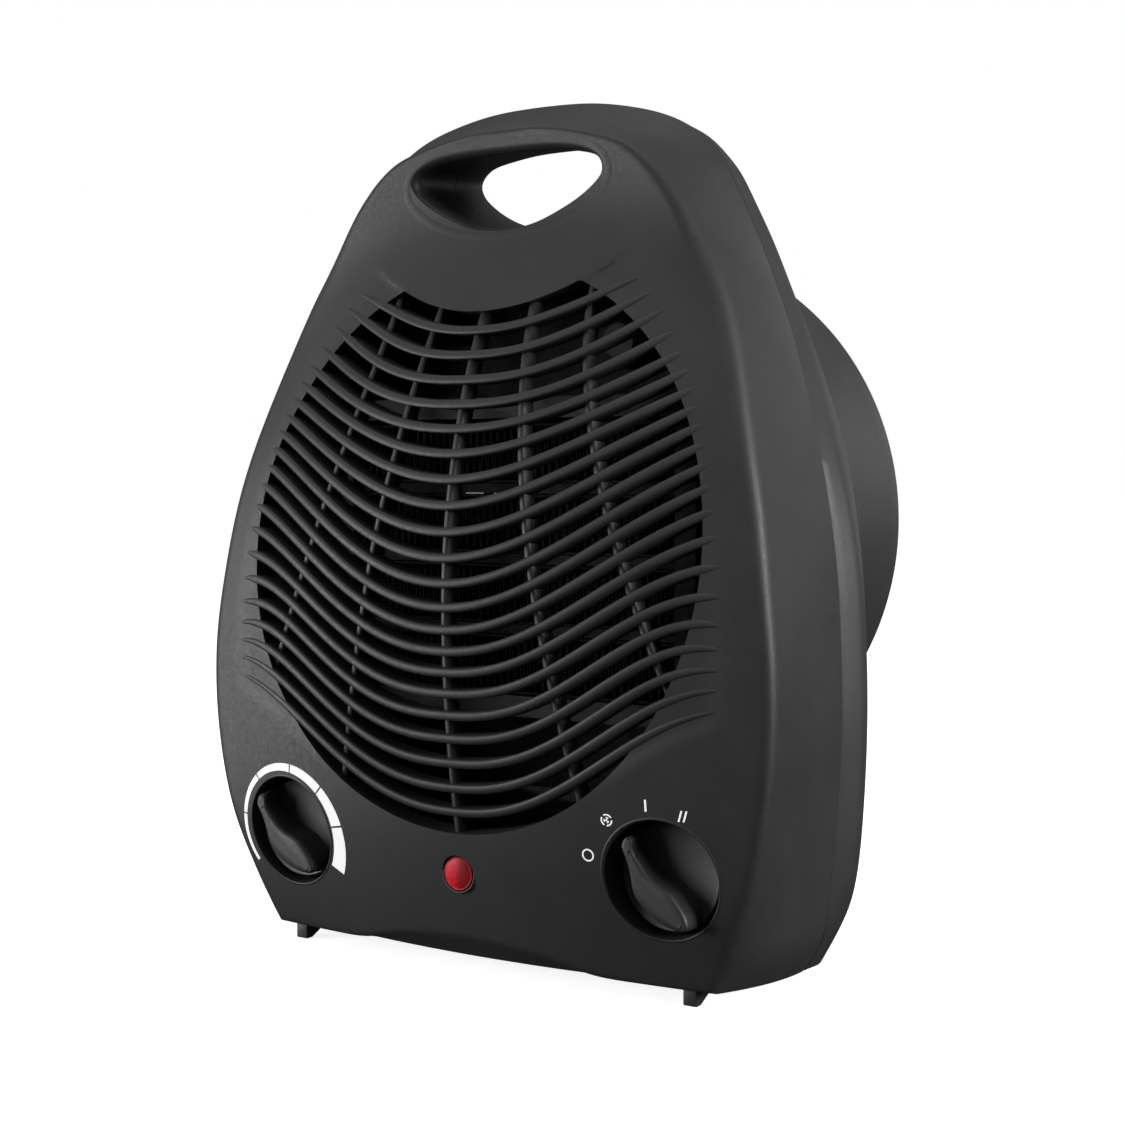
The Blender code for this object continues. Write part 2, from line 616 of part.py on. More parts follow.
def heater(frame_finish, ceramic, aluminium):
    frame = box("heater_frame", (-62, -27, HEATER_Z - 46), (62, -6.8, HEATER_Z + 46), frame_finish)
    half_width, half_height = FIN_BANK_HALF_WIDTH, HEATER_HALF_HEIGHT
    cut(frame, box("heater_window", (-half_width - 0.5, -40, HEATER_Z - half_height),
                   (half_width + 0.5, 0, HEATER_Z + half_height)))
    pitch = 2 * half_width / FIN_GAPS
    z = HEATER_Z - half_height + GAP
    for i in range(4):
        top = z + FIN_BANK_HEIGHT
        fins = box(f"heater_fin_bank_{i + 1}", (-half_width, -25, z), (half_width, -10, top), aluminium)
        starts = [pitch * k - half_width for k in range(FIN_GAPS)]
        cut(fins, boxes(f"fin_gaps_{i + 1}", [
            ((start + 0.6, -40, z + 0.8), (start + pitch - 0.6, 0, top - 0.8)) for start in starts]))
        z = top + GAP
        if i < 3:
            box(f"heater_ceramic_strip_{i + 1}", (1 - half_width, -24, z),
                (half_width - 1, -11, z + CERAMIC_HEIGHT), ceramic)
            z += CERAMIC_HEIGHT + GAP


def duct_plate(sheet, metal):
    """The sheet that guides air from the round fan drum into the heater."""
    outline = mirrored([(0, 48), (75.5, 48), (75.5, 64), (72, 66), (72, 170), (72, 192), (60, 196), (0, 196)])
    plate = prism("duct_plate", outline, PARTING_Y - 0.5, PARTING_Y + 0.6, sheet)
    cut(plate, box("duct_window", (-54, -20, HEATER_Z - 38), (54, 5, HEATER_Z + 38)))
    cut(plate, rods("duct_screw_holes", both_sides(DUCT_POSTS), 1.8, -20, 0))
    names = ("upper_left", "upper_right", "lower_left", "lower_right")
    for name, (x, z) in zip(names, both_sides(DUCT_POSTS)):
        screw(f"duct_screw_{name}", x, z, PARTING_Y - 0.8, 2.5, metal)


def heat_protection(body, metal):
    cap = [(0.6, -6.8), (8, -6.8), (8, -12), (5, -14), (0.6, -14)]
    turned("thermal_cutout", 30, 180, cap, body, sides=20)
    fuse = rod("thermal_fuse", 0, 0, 2, -7, 7, metal, sides=12)
    fuse.rotation_euler = (0, 0, math.radians(90))
    fuse.location = (-30 * MM, -8.8 * MM, 180 * MM)


# ---------------------------------------------------------------- fan and motor

def impeller(finish):
    """Twisted blades on a hub. Its origin is on the shaft's axis."""
    hub_profile = [(2.3, 25), (13, 25), (13, 13), (11, 10), (2.3, 10)]
    fan = turned("fan_impeller", 0, DRUM_Z, hub_profile, finish, sides=20)
    bm = bmesh.new()
    for blade in range(FAN_BLADES):
        spin = Matrix.Rotation(2 * math.pi * blade / FAN_BLADES, 4, "Y")
        rings = []
        for radius, chord, pitch in ((11, 15, 48), (30, 30, 38), (52, 44, 30), (74, 50, 24)):
            tilt, ring = math.radians(pitch), []
            for along, across in ((-0.5, -0.7), (0.5, -0.7), (0.5, 0.7), (-0.5, 0.7)):
                sweep = along * chord * math.cos(tilt) - across * math.sin(tilt)
                depth = 17.5 + along * chord * math.sin(tilt) * 0.62 + across * math.cos(tilt)
                angle = sweep / radius if radius > 20 else sweep / 20
                point = Vector((radius * math.cos(angle), depth, radius * math.sin(angle)))
                ring.append(spin @ point + Vector((0, 0, DRUM_Z)))
            rings.append(ring)
        loft_into(bm, rings)
    join(fan, add_object("fan_blades", bm))
    place_origin(fan, (0, FAN_PIVOT_Y, DRUM_Z))


def motor(steel, copper, bracket_finish, bronze, metal):
    low, high = DRUM_Z - 42, DRUM_Z + 24
    stack = box("motor_lamination_stack", (-28, 33, low), (28, 49, high), steel)
    cut(stack, rod("rotor_bore", 0, DRUM_Z, 13.5, 30, 52, sides=24))
    cut(stack, box("coil_window", (-16, 30, low + 8), (16, 52, low + 21)))
    cut(stack, rods("stack_screw_holes", MOTOR_SCREWS, 1.9, 30, 52))
    coil = box("motor_coil", (-14, 28.5, low - 4), (14, 53.5, low + 20.6), copper)
    cut(coil, box("coil_core", (-20, 32.7, low - 0.3), (20, 49.3, low + 8.3)))
    for name, y in (("front", 30.8), ("rear", 49.4)):
        strap = box(f"motor_bracket_{name}", (-26, y, DRUM_Z - 6), (26, y + 1.6, DRUM_Z + 6), bracket_finish)
        outer = y - 2.4 if name == "front" else y + 4
        join(strap, rod(f"bush_cup_{name}", 0, DRUM_Z, 7.5, min(outer, y + 0.8), max(outer, y + 0.8)))
        cut(strap, rod(f"bush_seat_{name}", 0, DRUM_Z, 4.8, y - 8, y + 8))
        cut(strap, rods(f"strap_holes_{name}", MOTOR_SCREWS, 1.9, y - 5, y + 5))
        low_y, high_y = (y - 2.4, y + 1.6) if name == "front" else (y, y + 4)
        turned(f"motor_bush_{name}", 0, DRUM_Z, [(2.15, low_y), (4.4, low_y), (4.4, high_y), (2.15, high_y)],
               bronze, sides=16)
    for side, (x, z) in zip(("left", "right"), MOTOR_SCREWS):
        screw(f"motor_screw_{side}", x, z, 30.5, 56, metal)
    inner = SHAFT_R + GAP
    shaft = rod("motor_shaft", 0, DRUM_Z, SHAFT_R, 7, 54.4, steel, sides=16)
    rotor = turned("motor_rotor", 0, DRUM_Z, [(inner, 34), (12.9, 34), (12.9, 48), (inner, 48)], steel)
    clip = turned("fan_clip", 0, DRUM_Z, [(inner, 9.6), (5, 9.6), (5, 8.6), (inner, 8.6)], metal, sides=12)
    for made in (shaft, rotor, clip):
        place_origin(made, (0, FAN_PIVOT_Y, DRUM_Z))


# ---------------------------------------------------------------- wiring and fasteners

def wiring(plastic, rubber, brass, metal):
    block = box("terminal_block", (-17, -20, 8), (17, -9, 18), plastic)
    cut(block, boxes("terminal_ways", [((x - 4.5, -30, 10.5), (x + 4.5, 0, 15.5)) for x in (-10, 0, 10)]))
    bush = [(3.2, 13), (6, 13), (8, 11.4), (8, 10.8), (4.8, 10.8), (4.8, 7.6), (6.6, 7.6), (6.6, 6), (3.2, 6)]
    turned("cord_inlet_bush", *CORD_INLET, bush, rubber, sides=16)
    bar = box("cord_clamp", (-13, -3.4, 10), (13, -0.3, 16), plastic)
    cut(bar, rods("clamp_holes", CLAMP_SCREWS, 1.7, -6, 3))
    for side, (x, z) in zip(("left", "right"), CLAMP_SCREWS):
        screw(f"cord_clamp_screw_{side}", x, z, -3.7, 4, metal, shank=1.2, head=2.5, head_height=1.6)


def casing_screws(metal):
    names = ("lower_left", "lower_right", "middle_left", "middle_right", "upper_left", "upper_right")
    for name, (x, z) in zip(names, both_sides(CASING_SCREWS)):
        screw(f"casing_screw_{name}", x, z, 6.3, -16, metal)


def main():
    clear_scene()
    black = material("black_casing", (0.035, 0.036, 0.038), 0.5)
    knob_black = material("knob_black", (0.03, 0.03, 0.032), 0.45)
    red = material("red_lens", (0.55, 0.01, 0.02), 0.15)
    glass = material("lamp_glass", (0.8, 0.75, 0.7), 0.1)
    zinc = material("zinc_steel", (0.6, 0.6, 0.58), 0.35, 1.0)
    steel = material("motor_steel", (0.35, 0.35, 0.36), 0.4, 1.0)
    copper = material("coil_wrap", (0.45, 0.2, 0.08), 0.4)
    bronze = material("bronze", (0.5, 0.33, 0.15), 0.4, 1.0)
    brass = material("brass", (0.65, 0.5, 0.22), 0.35, 1.0)
    aluminium = material("fin_aluminium", (0.5, 0.5, 0.5), 0.4, 1.0)
    ceramic = material("ceramic", (0.75, 0.72, 0.66), 0.6)
    dark_plastic = material("dark_plastic", (0.05, 0.05, 0.05), 0.5)
    white_plastic = material("white_plastic", (0.75, 0.75, 0.72), 0.5)
    rubber = material("rubber", (0.02, 0.02, 0.02), 0.7)

    front_casing(black)
    rear_casing(black)
    knob("thermostat_knob", -KNOB_X, 142, knob_black)
    knob("selector_knob", KNOB_X, 137, knob_black)
    rotary_switch(dark_plastic, zinc)
    thermostat(ceramic, zinc, brass)
    indicator(red, glass)
    heater(dark_plastic, ceramic, aluminium)
    duct_plate(zinc, zinc)
    heat_protection(dark_plastic, zinc)
    impeller(dark_plastic)
    motor(steel, copper, zinc, bronze, zinc)
    wiring(white_plastic, rubber, brass, zinc)
    casing_screws(zinc)


main()
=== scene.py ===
"""Looks of a portable ceramic fan heater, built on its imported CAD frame.

Shapes are written in millimetres, in the frame of the CAD part: +X right, the face towards -Y, +Z up.
"""

import json
import math

import bmesh
import bpy
import numpy as np
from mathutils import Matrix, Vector


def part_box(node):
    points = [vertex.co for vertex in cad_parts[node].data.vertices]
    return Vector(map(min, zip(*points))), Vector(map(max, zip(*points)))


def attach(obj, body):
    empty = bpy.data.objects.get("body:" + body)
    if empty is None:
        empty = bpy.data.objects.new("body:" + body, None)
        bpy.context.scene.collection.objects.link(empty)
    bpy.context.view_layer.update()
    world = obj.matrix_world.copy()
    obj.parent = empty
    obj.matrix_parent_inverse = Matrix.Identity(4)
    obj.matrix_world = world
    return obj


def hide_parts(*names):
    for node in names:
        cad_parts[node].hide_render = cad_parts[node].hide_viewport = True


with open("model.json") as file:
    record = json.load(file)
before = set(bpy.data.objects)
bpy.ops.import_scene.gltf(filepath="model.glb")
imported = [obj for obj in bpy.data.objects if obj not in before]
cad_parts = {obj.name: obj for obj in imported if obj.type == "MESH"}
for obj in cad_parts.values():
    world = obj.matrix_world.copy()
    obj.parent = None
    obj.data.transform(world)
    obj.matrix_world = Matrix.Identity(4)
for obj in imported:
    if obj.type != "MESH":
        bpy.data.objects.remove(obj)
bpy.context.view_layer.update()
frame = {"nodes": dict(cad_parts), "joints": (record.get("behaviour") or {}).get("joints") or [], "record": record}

MM = 0.001
NODES = frame["nodes"]
JOINTS = {joint["name"]: joint for joint in frame["joints"]}

# ---------------------------------------------------------------- sizes, in millimetres

PARTING_Y = -6.0
PARTING_GAP = 0.35
FRONT_END_Y = PARTING_Y - PARTING_GAP
PARTING_STEP = 0.25
REAR_EDGE_Y = 2.0
BACK_Y = 10.5
DRUM_Z = JOINTS["fan_spin"]["pos_m"][2] / MM
DRUM_R = 88.0
DRUM_TAPER = 1.2
DRUM_FILLET = 3.2
DRUM_ROUNDING = 3.0
DRUM_END_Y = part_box("rear_casing")[1].y / MM
WALL = 1.6
KNOB_X = JOINTS["selector_turn"]["pos_m"][0] / MM
KNOB_Z = JOINTS["selector_turn"]["pos_m"][2] / MM
WELL_R = 16.5
WELL_FLOOR_Y = -33.0
LAMP_Z = (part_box("indicator_lens")[0].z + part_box("indicator_lens")[1].z) / 2 / MM
LAMP_R = 4.9
HANDLE_Z = 222.0
OUTLET_Z = 122.0
OUTLET_HALF_WIDTH = 75.0
OUTLET_HALF_HEIGHT = 80.0
FACE_ROWS_Z = 118.0
BAR_COUNT = 21
BAR_HALF_WIDTH = 1.3
BAR_DEPTH = 6.0
TAIL_STEP = 0.42
FACE_SHIFT = -48.5
DOME_POWER = 1.096
BOTTOM_ROUNDING = 1.6
HANDLE_POINTS = 60
SHARP_ANGLE = 32

# Stations round the casing's right half, bottom to crown: (x, z) of the front crease, of the parting line
# and of the rear casing's widest edge
BOTTOM = [(0, 10.6, 0, 4.6, 0, 4.6), (20, 9.2, 23, 4.6, 23, 4.6), (31, 7.3, 35.6, 4.6, 36, 4.6),
          (38, 5.5, 43.6, 4.6, 44, 4.6), (50, 4.7, 57.4, 4.6, 58, 4.6), (62, 4.6, 71, 4.6, 72, 4.6),
          (74.3, 4.6, 85.3, 4.6, 86.2, 4.6)]
SIDE = [(74.3, 4.6, 85.3, 4.6, 86.2, 4.6), (77.7, 10.9, 89.4, 11, 90, 11.5),
        (83.2, 23.3, 92.4, 22.5, 95, 23), (88.1, 35.3, 93.6, 35, 97.3, 35),
        (91.4, 47.6, 94.7, 47.5, 98.4, 47.5), (94.9, 80, 96.2, 80, 99.4, 80),
        (94.2, 97, 95.7, 96, 98.9, 97), (92.7, 109, 95.1, 108, 98.2, 109),
        (88.6, 134, 91.9, 134, 94.4, 134), (82.4, 158, 86.9, 158, 88.3, 158),
        (74.5, 183, 79.8, 183.5, 79.9, 184), (69.2, 195, 75.5, 195, 75.2, 195.5),
        (62.1, 207, 70.4, 207.5, 69.8, 208), (55.2, 218.5, 65.2, 218.5, 64.3, 219),
        (50, 225, 61.8, 225.5, 60.6, 226), (43.2, 231, 57.5, 232.5, 55.8, 232.5),
        (38.5, 233.8, 52, 237.5, 50.8, 237.5), (32.7, 235.8, 45.4, 241.7, 44.4, 241.5),
        (22, 238.4, 33, 246.2, 32.4, 246), (11, 239.9, 17, 249.2, 16.8, 248.9),
        (0, 240.3, 0, 249.9, 0, 249.6)]

# Depth of the face along its edge, and its bulge forward of that in the middle, by height
FACE_EDGE = [(0, 9.3), (30, 3.5), (61, 1.5), (92, 1.6), (122, 3.9), (153, 9.0), (183, 16.9), (214, 20.4),
             (250, 20.3)]
FACE_BULGE = [(0, 4.8), (30, 5.9), (61, 9.6), (92, 12.7), (122, 14.5), (153, 13.8), (183, 10.8), (214, 0.3),
              (250, 0.4)]

# Half outlines of the handle opening, crown to bottom: its lip's outer edge on the face, its throat just
# behind the lip, and its far end in the back wall
HANDLE_LIP = [(0, 236), (10, 235.9), (17.5, 235.4), (26.9, 233.6), (32, 230.4), (33.9, 226.6), (33.4, 223),
              (29.3, 218.4), (21.3, 214), (12, 211.6), (0, 210.7)]
HANDLE_THROAT = [(0, 233.7), (12, 233.5), (20, 232.9), (26.7, 231.6), (30.6, 229.6), (31.4, 226.8),
                 (28.6, 222.8), (18.9, 217), (8.3, 212.8), (0, 211.9)]
HANDLE_BACK = [(0, 239.4), (12, 239), (22, 237.6), (29.7, 235), (32.3, 231.2), (31.4, 228.4), (28.6, 225.3),
               (17.4, 218.6), (8, 216.2), (0, 215.6)]

# Bars by number from the top: height in the middle, rise to the crest, distance out to it, and curve
BARS = [(0, 182.3, 17, 67, 1.12), (2, 168.2, 27, 84, 1.26), (5, 147.6, 36, 117, 0.99),
        (8, 126.1, 37, 105, 0.98), (11, 105.4, 38.5, 99, 1.01), (14, 87.5, 31, 83, 1.15),
        (17, 69, 28.5, 76.5, 1.29), (20, 48.1, 33.5, 85, 1.17), (21, 41.7, 34.5, 87, 1.17)]

# How far out a bar's tail runs, by bar number
TAIL_END = [(-1, 44.5), (0, 50.1), (2, 58.7), (4, 65.8), (7, 71.3), (10, 75.6), (13, 80.3), (15, 82.6),
            (21, 83.2)]

# Ribs behind the bars: distance from the middle on top, spread below that, curve of the spread, height over
# which it spreads, and lowest point
RIBS = [(0, 0, 1, 190, 41.5), (15.5, 24.5, 1.27, 136, 46), (33, 33.4, 1.4, 106, 60)]
RIB_TOP_Z = 198
RIB_SPREAD_Z = 191
RIB_SETBACK = 2.2

# A rib's section as (across, back) points
RIB_SECTION = [(-1.0, 5), (-1.0, 0.4), (-0.6, 0.05), (0, 0), (0.6, 0.05), (1.0, 0.4), (1.0, 5)]

# Radius of the crease between face and flank, by height
CREASE_ROUNDING = [(4.6, 1.6), (12, 3.2), (120, 3.6), (200, 4.6), (225, 3.4), (236, 1.8), (241, 1.6)]

# Outlines of a front foot and a rear foot as (depth, height) points
TOE = [(-38.9, 0), (-36.2, 0), (-22.6, 6.2), (-38.9, 6.2)]
HEEL = [(1, 7), (1, 0), (45, 0), (46, 1), (46, 7), (9.5, 38)]

# Rings of a knob's skirt as (radius, depth)
KNOB_SKIRT = [(13.2, -34.2), (14.9, -34.4), (15.15, -35.2), (15.1, -41.6), (14.9, -42.3), (14.4, -42.7),
              (13.9, -42.6), (13.2, -42.4)]

# A knob's grip, pointing along +X: its outline from the pointer's tip round by the broad side
GRIP = [(14.3, -2.0), (14.4, -0.5), (13.9, 1.1), (11.4, 2.6), (8.7, 4.0), (5.7, 6.1), (2.8, 8.2),
        (-1.4, 8.9), (-6.0, 8.4), (-10.4, 6.7), (-13.3, 4.7), (-14.5, 2.6), (-13.4, 1.2), (-10.9, 0.1),
        (-7.5, -0.5), (-4.2, -0.6), (-1.9, 0), (1.2, 0.8), (4.4, 0.8), (7.9, 0.2), (11.0, -0.9),
        (13.3, -2.9)]
GRIP_TAIL = GRIP.index((-14.5, 2.6))
GRIP_FOOT_Y = -42.0
GRIP_HEIGHT = 7.3
GRIP_SHOULDER_Y = GRIP_FOOT_Y - GRIP_HEIGHT
GRIP_TOP_Y = -50.62
GRIP_SLOPE = 0.13
GRIP_SLOPE_START = 1.5

# Rings of the lens and of its socket as (radius, depth behind the face)
LENS = [(3.9, 5.5), (4.6, 5.3), (4.8, 0.9), (4.8, 0.12), (4.7, 0.0), (4.5, -0.05), (4.38, 0.04), (4.2, 0.0),
        (3.6, -0.16), (2.8, -0.3), (1.9, -0.4), (1.0, -0.46), (0.3, -0.48)]
SOCKET = [(5.9, 1.2), (5.45, 0.02), (5.15, 0.02), (4.95, 0.3), (4.9, 6.5), (6.2, 6.5)]

# Angles at which the thermostat's scale is divided, and the selector's marks as (radius, angle)
SCALE_STOPS = (217, 170.5, 127.5, 81.5, 44.5, 10, -29)
OFF_MARK = (21.0, 166)
FAN_MARK = (20.8, 132.4)
ONE_MARK = (20.4, 97.5)
TWO_MARK = (19.6, 67.5)

# Angles of the knobs' pointers at rest
SELECTOR_REST = 137
THERMOSTAT_REST = 142

CAMERA_PLACE = (0.29017, -0.46169, 0.14375)
CAMERA_AZIMUTH = 31.905
CAMERA_ELEVATION = 2.993
CAMERA_LENS = 57.94


# ---------------------------------------------------------------- curves and surfaces

def spline(points):
    """A smooth function through rows of (t, value, ...), with free ends."""
    table = np.array(points, float)
    t, values = table[:, 0], table[:, 1:]
    count, step = len(t), np.diff(table[:, 0])
    system, right = np.eye(count), np.zeros_like(values)
    for i in range(1, count - 1):
        system[i, i - 1:i + 2] = step[i - 1], 2 * (step[i - 1] + step[i]), step[i]
        right[i] = 6 * ((values[i + 1] - values[i]) / step[i] - (values[i] - values[i - 1]) / step[i - 1])
    bend = np.linalg.solve(system, right)

    def value(at):
        at = np.clip(np.asarray(at, float), t[0], t[-1])
        i = np.clip(np.searchsorted(t, at, side="right") - 1, 0, count - 2)
        a, b, h = (t[i + 1] - at)[..., None], (at - t[i])[..., None], step[i][..., None]
        found = (bend[i] * a**3 + bend[i + 1] * b**3) / (6 * h)
        found = found + (values[i] / h - bend[i] * h / 6) * a + (values[i + 1] / h - bend[i + 1] * h / 6) * b
        return found[..., 0] if found.shape[-1] == 1 else found

    return value


def along(points, count):
    """Points spread along a smooth curve through the given rows, by the length of its first two columns."""
    points = np.array(points, float)
    lengths = np.hypot(*np.diff(points[:, :2], axis=0).T)
    t = np.concatenate([[0], np.cumsum(lengths)])
    return spline(np.column_stack([t, points]))(np.linspace(0, t[-1], count))


def mirrored(half):
    """A closed outline from its right half, which runs between two points at x = 0."""
    back = half[-2:0:-1].copy()
    back[:, 0::2] *= -1
    return np.concatenate([half, back])


def smoothstep(t):
    t = np.clip(t, 0, 1)
    return t * t * (3 - 2 * t)


FACE_EDGE_Y = spline(FACE_EDGE)
FACE_BULGE_Y = spline(FACE_BULGE)
CREASE_X = spline([(row[1], row[0]) for row in SIDE[:-1]] + [(250, 0)])
TAIL_X = spline(TAIL_END)
BAR_SHAPE = spline(BARS)


def face_y(x, z):
    """Depth of the front face: a flat margin with a dome in the middle."""
    x, z = np.asarray(x, float), np.asarray(z, float)
    across = np.minimum(np.abs(x) / np.maximum(CREASE_X(z), 1.0), 1.0)
    return FACE_SHIFT + FACE_EDGE_Y(z) - FACE_BULGE_Y(z) * (1 - across**2) ** DOME_POWER


def behind_face(distance):
    """A depth for with_depth: the face's own, moved back by a distance."""
    return lambda x, z: face_y(x, z) + distance


def bar_z(bar, x):
    """Height of a grille bar's centre line. Bars -1 and BAR_COUNT are the lips above and below the bars."""
    x = np.abs(np.asarray(x, float))
    if bar < 0:
        return 187.7 + 0.0085 * x**2
    middle, rise, reach, power = BAR_SHAPE(bar)
    return middle + rise / 2 * (1 - np.cos(math.pi * (x / reach) ** power))


def in_outlet(x, z):
    """Whether a point is in the outlet: an ellipse cut off by the lip above the bars."""
    ellipse = (x / OUTLET_HALF_WIDTH) ** 2 + ((z - OUTLET_Z) / OUTLET_HALF_HEIGHT) ** 2 < 1
    return ellipse & (z < bar_z(-1, x))


def tail_floor(x, z):
    """How far the face is set back between the tails of the bars, fading out where the tails end."""
    heights = np.array([bar_z(bar, x) for bar in range(-1, BAR_COUNT + 1)])
    bar = np.zeros_like(x)
    for i in range(len(heights) - 1):
        share = (heights[i] - z) / (heights[i] - heights[i + 1])
        bar = np.where((share >= 0) & (share < 1), i - 1 + share, bar)
    inside = smoothstep((heights[0] - z) / 1.6) * smoothstep((z - heights[-1]) / 5)
    return TAIL_STEP * inside * smoothstep((TAIL_X(bar) + 1 - np.abs(x)) / 9)


# ---------------------------------------------------------------- meshes

def skin_faces(count, size, loop=False):
    """Faces between each ring of points and the next, for a number of rings of one size."""
    faces = []
    for i in range(count if loop else count - 1):
        a, b = i * size, (i + 1) % count * size
        faces += [(a + k, a + (k + 1) % size, b + (k + 1) % size, b + k) for k in range(size)]
    return faces


def finish_object(name, vertices, faces, material, body="casing", slot=None, sharp=SHARP_ANGLE):
    """An object from points in millimetres, which rides on a body if one is named."""
    mesh = bpy.data.meshes.new(name)
    mesh.from_pydata((np.asarray(vertices, float) * MM).tolist(), [], [tuple(map(int, f)) for f in faces])
    mesh.validate()
    obj = bpy.data.objects.new(name, mesh)
    bpy.context.scene.collection.objects.link(obj)
    if material:
        mesh.materials.append(material)
    mesh.shade_smooth()
    mesh.set_sharp_from_angle(angle=math.radians(sharp))
    if body:
        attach(obj, body)
    return obj


class Shape:
    """Collects lofted pieces into one mesh."""

    def __init__(self):
        self.vertices, self.faces, self.count = [], [], 0

    def add(self, points, faces):
        """Takes in a closed piece, turned so that its faces point outward."""
        points, faces = np.asarray(points, float).reshape(-1, 3), [list(f) for f in faces]
        volume = 0.0
        for face in faces:
            corners = points[face]
            for second, third in zip(corners[1:], corners[2:]):
                volume += np.dot(corners[0], np.cross(second, third))
        if volume < 0:
            faces = [f[::-1] for f in faces]
        self.faces += [[i + self.count for i in f] for f in faces]
        self.vertices.append(points)
        self.count += len(points)
        return self

    def loft(self, rings, loop=False):
        """A skin over rings of points. It is closed at its ends by caps, or by joining last to first."""
        rings = np.asarray(rings, float)
        count, size = rings.shape[:2]
        faces = skin_faces(count, size, loop)
        if not loop:
            faces += [list(range(size))[::-1], [(count - 1) * size + k for k in range(size)]]
        return self.add(rings, faces)

    def make(self, name, material, **options):
        return finish_object(name, np.concatenate(self.vertices), self.faces, material, **options)


def sheet_object(name, rows, material):
    """An open skin over closed rows of points, facing away from the middle of the casing."""
    rows = np.asarray(rows, float)
    faces = skin_faces(*rows.shape[:2])
    corners = rows.reshape(-1, 3)[np.array(faces)]
    normals = np.cross(corners[:, 2] - corners[:, 0], corners[:, 3] - corners[:, 1])
    if np.sum(normals * (corners.mean(axis=1) - (0, 0, DRUM_Z))) < 0:
        faces = [face[::-1] for face in faces]
    return finish_object(name, rows.reshape(-1, 3), faces, material, body=None)


def apply_modifiers(obj):
    """Bakes the object's modifiers into a new mesh, smooth but for its sharp edges."""
    graph = bpy.context.evaluated_depsgraph_get()
    mesh = bpy.data.meshes.new_from_object(obj.evaluated_get(graph))
    obj.modifiers.clear()
    obj.data = mesh
    mesh.shade_smooth()
    mesh.set_sharp_from_angle(angle=math.radians(SHARP_ANGLE))


def thicken(obj, thickness):
    solid = obj.modifiers.new("wall", "SOLIDIFY")
    solid.thickness = thickness * MM
    solid.offset = -1
    solid.use_even_offset = True


def cut(obj, *shapes):
    """Cuts shapes out of the object, one Boolean for each, and removes the cutters."""
    cutters = []
    for i, shape in enumerate(shapes):
        cutter = shape.make(f"{obj.name}_cutter_{i}", None, body=None)
        modifier = obj.modifiers.new(cutter.name, "BOOLEAN")
        modifier.operation = "DIFFERENCE"
        modifier.solver = "EXACT"
        modifier.object = cutter
        cutters.append(cutter)
    apply_modifiers(obj)
    for cutter in cutters:
        bpy.data.objects.remove(cutter)


def circle(x, z, radius, count):
    turn = np.arange(count) * 2 * math.pi / count
    return np.stack([x + radius * np.cos(turn), z + radius * np.sin(turn)], axis=1)


def with_depth(outline, y):
    """An (x, z) outline placed at a depth, which may be one number, a list or a function of x and z."""
    outline = np.asarray(outline, float)
    depth = y(outline[:, 0], outline[:, 1]) if callable(y) else np.broadcast_to(y, len(outline))
    return np.stack([outline[:, 0], depth, outline[:, 1]], axis=1)


def offset(outline, distance):
    """A closed (x, z) outline moved outward by a distance."""
    outline = np.asarray(outline, float)
    tangent = np.roll(outline, -1, axis=0) - np.roll(outline, 1, axis=0)
    normal = np.stack([tangent[:, 1], -tangent[:, 0]], axis=1)
    normal /= np.linalg.norm(normal, axis=1, keepdims=True)
    following = np.roll(outline, -1, axis=0)
    area = np.sum(outline[:, 0] * following[:, 1] - following[:, 0] * outline[:, 1])
    return outline + normal * distance * np.sign(area)


def rod(x, z, radius, y_from, y_to, sides=48):
    outline = circle(x, z, radius, sides)
    return Shape().loft([with_depth(outline, y_from), with_depth(outline, y_to)])


# ---------------------------------------------------------------- materials

def new_material(name, colour, roughness, metallic=0.0, specular=0.5):
    material = bpy.data.materials.new(name)
    material.use_nodes = True
    shader = material.node_tree.nodes["Principled BSDF"]
    shader.inputs["Base Color"].default_value = (*colour, 1)
    shader.inputs["Roughness"].default_value = roughness
    shader.inputs["Metallic"].default_value = metallic
    shader.inputs["Specular IOR Level"].default_value = specular
    return material, material.node_tree, shader


def noise(tree, scale, detail=2.0, roughness=0.5, stretch=None):
    """A noise texture in object space. Scale is in features per metre."""
    place = tree.nodes.new("ShaderNodeTexCoord")
    texture = tree.nodes.new("ShaderNodeTexNoise")
    texture.inputs["Scale"].default_value = scale
    texture.inputs["Detail"].default_value = detail
    texture.inputs["Roughness"].default_value = roughness
    if stretch:
        mapping = tree.nodes.new("ShaderNodeMapping")
        mapping.inputs["Scale"].default_value = stretch
        tree.links.new(place.outputs["Object"], mapping.inputs["Vector"])
        tree.links.new(mapping.outputs["Vector"], texture.inputs["Vector"])
    else:
        tree.links.new(place.outputs["Object"], texture.inputs["Vector"])
    return texture.outputs["Fac"]


def ramp(tree, value, stops):
    node = tree.nodes.new("ShaderNodeValToRGB")
    elements = node.color_ramp.elements
    while len(elements) < len(stops):
        elements.new(0.5)
    for element, (position, colour) in zip(elements, stops):
        element.position = position
        element.color = (*colour, 1)
    tree.links.new(value, node.inputs["Fac"])
    return node.outputs["Color"]


def bump(tree, shader, height, distance, strength, before=None):
    node = tree.nodes.new("ShaderNodeBump")
    node.inputs["Strength"].default_value = strength
    node.inputs["Distance"].default_value = distance
    tree.links.new(height, node.inputs["Height"])
    if before:
        tree.links.new(before, node.inputs["Normal"])
    tree.links.new(node.outputs["Normal"], shader.inputs["Normal"])
    return node.outputs["Normal"]


def remap(tree, value, low, high):
    """The middle of a noise's range spread over another range."""
    node = tree.nodes.new("ShaderNodeMapRange")
    node.inputs["From Min"].default_value = 0.3
    node.inputs["From Max"].default_value = 0.7
    node.inputs["To Min"].default_value = low
    node.inputs["To Max"].default_value = high
    tree.links.new(value, node.inputs["Value"])
    return node.outputs["Result"]


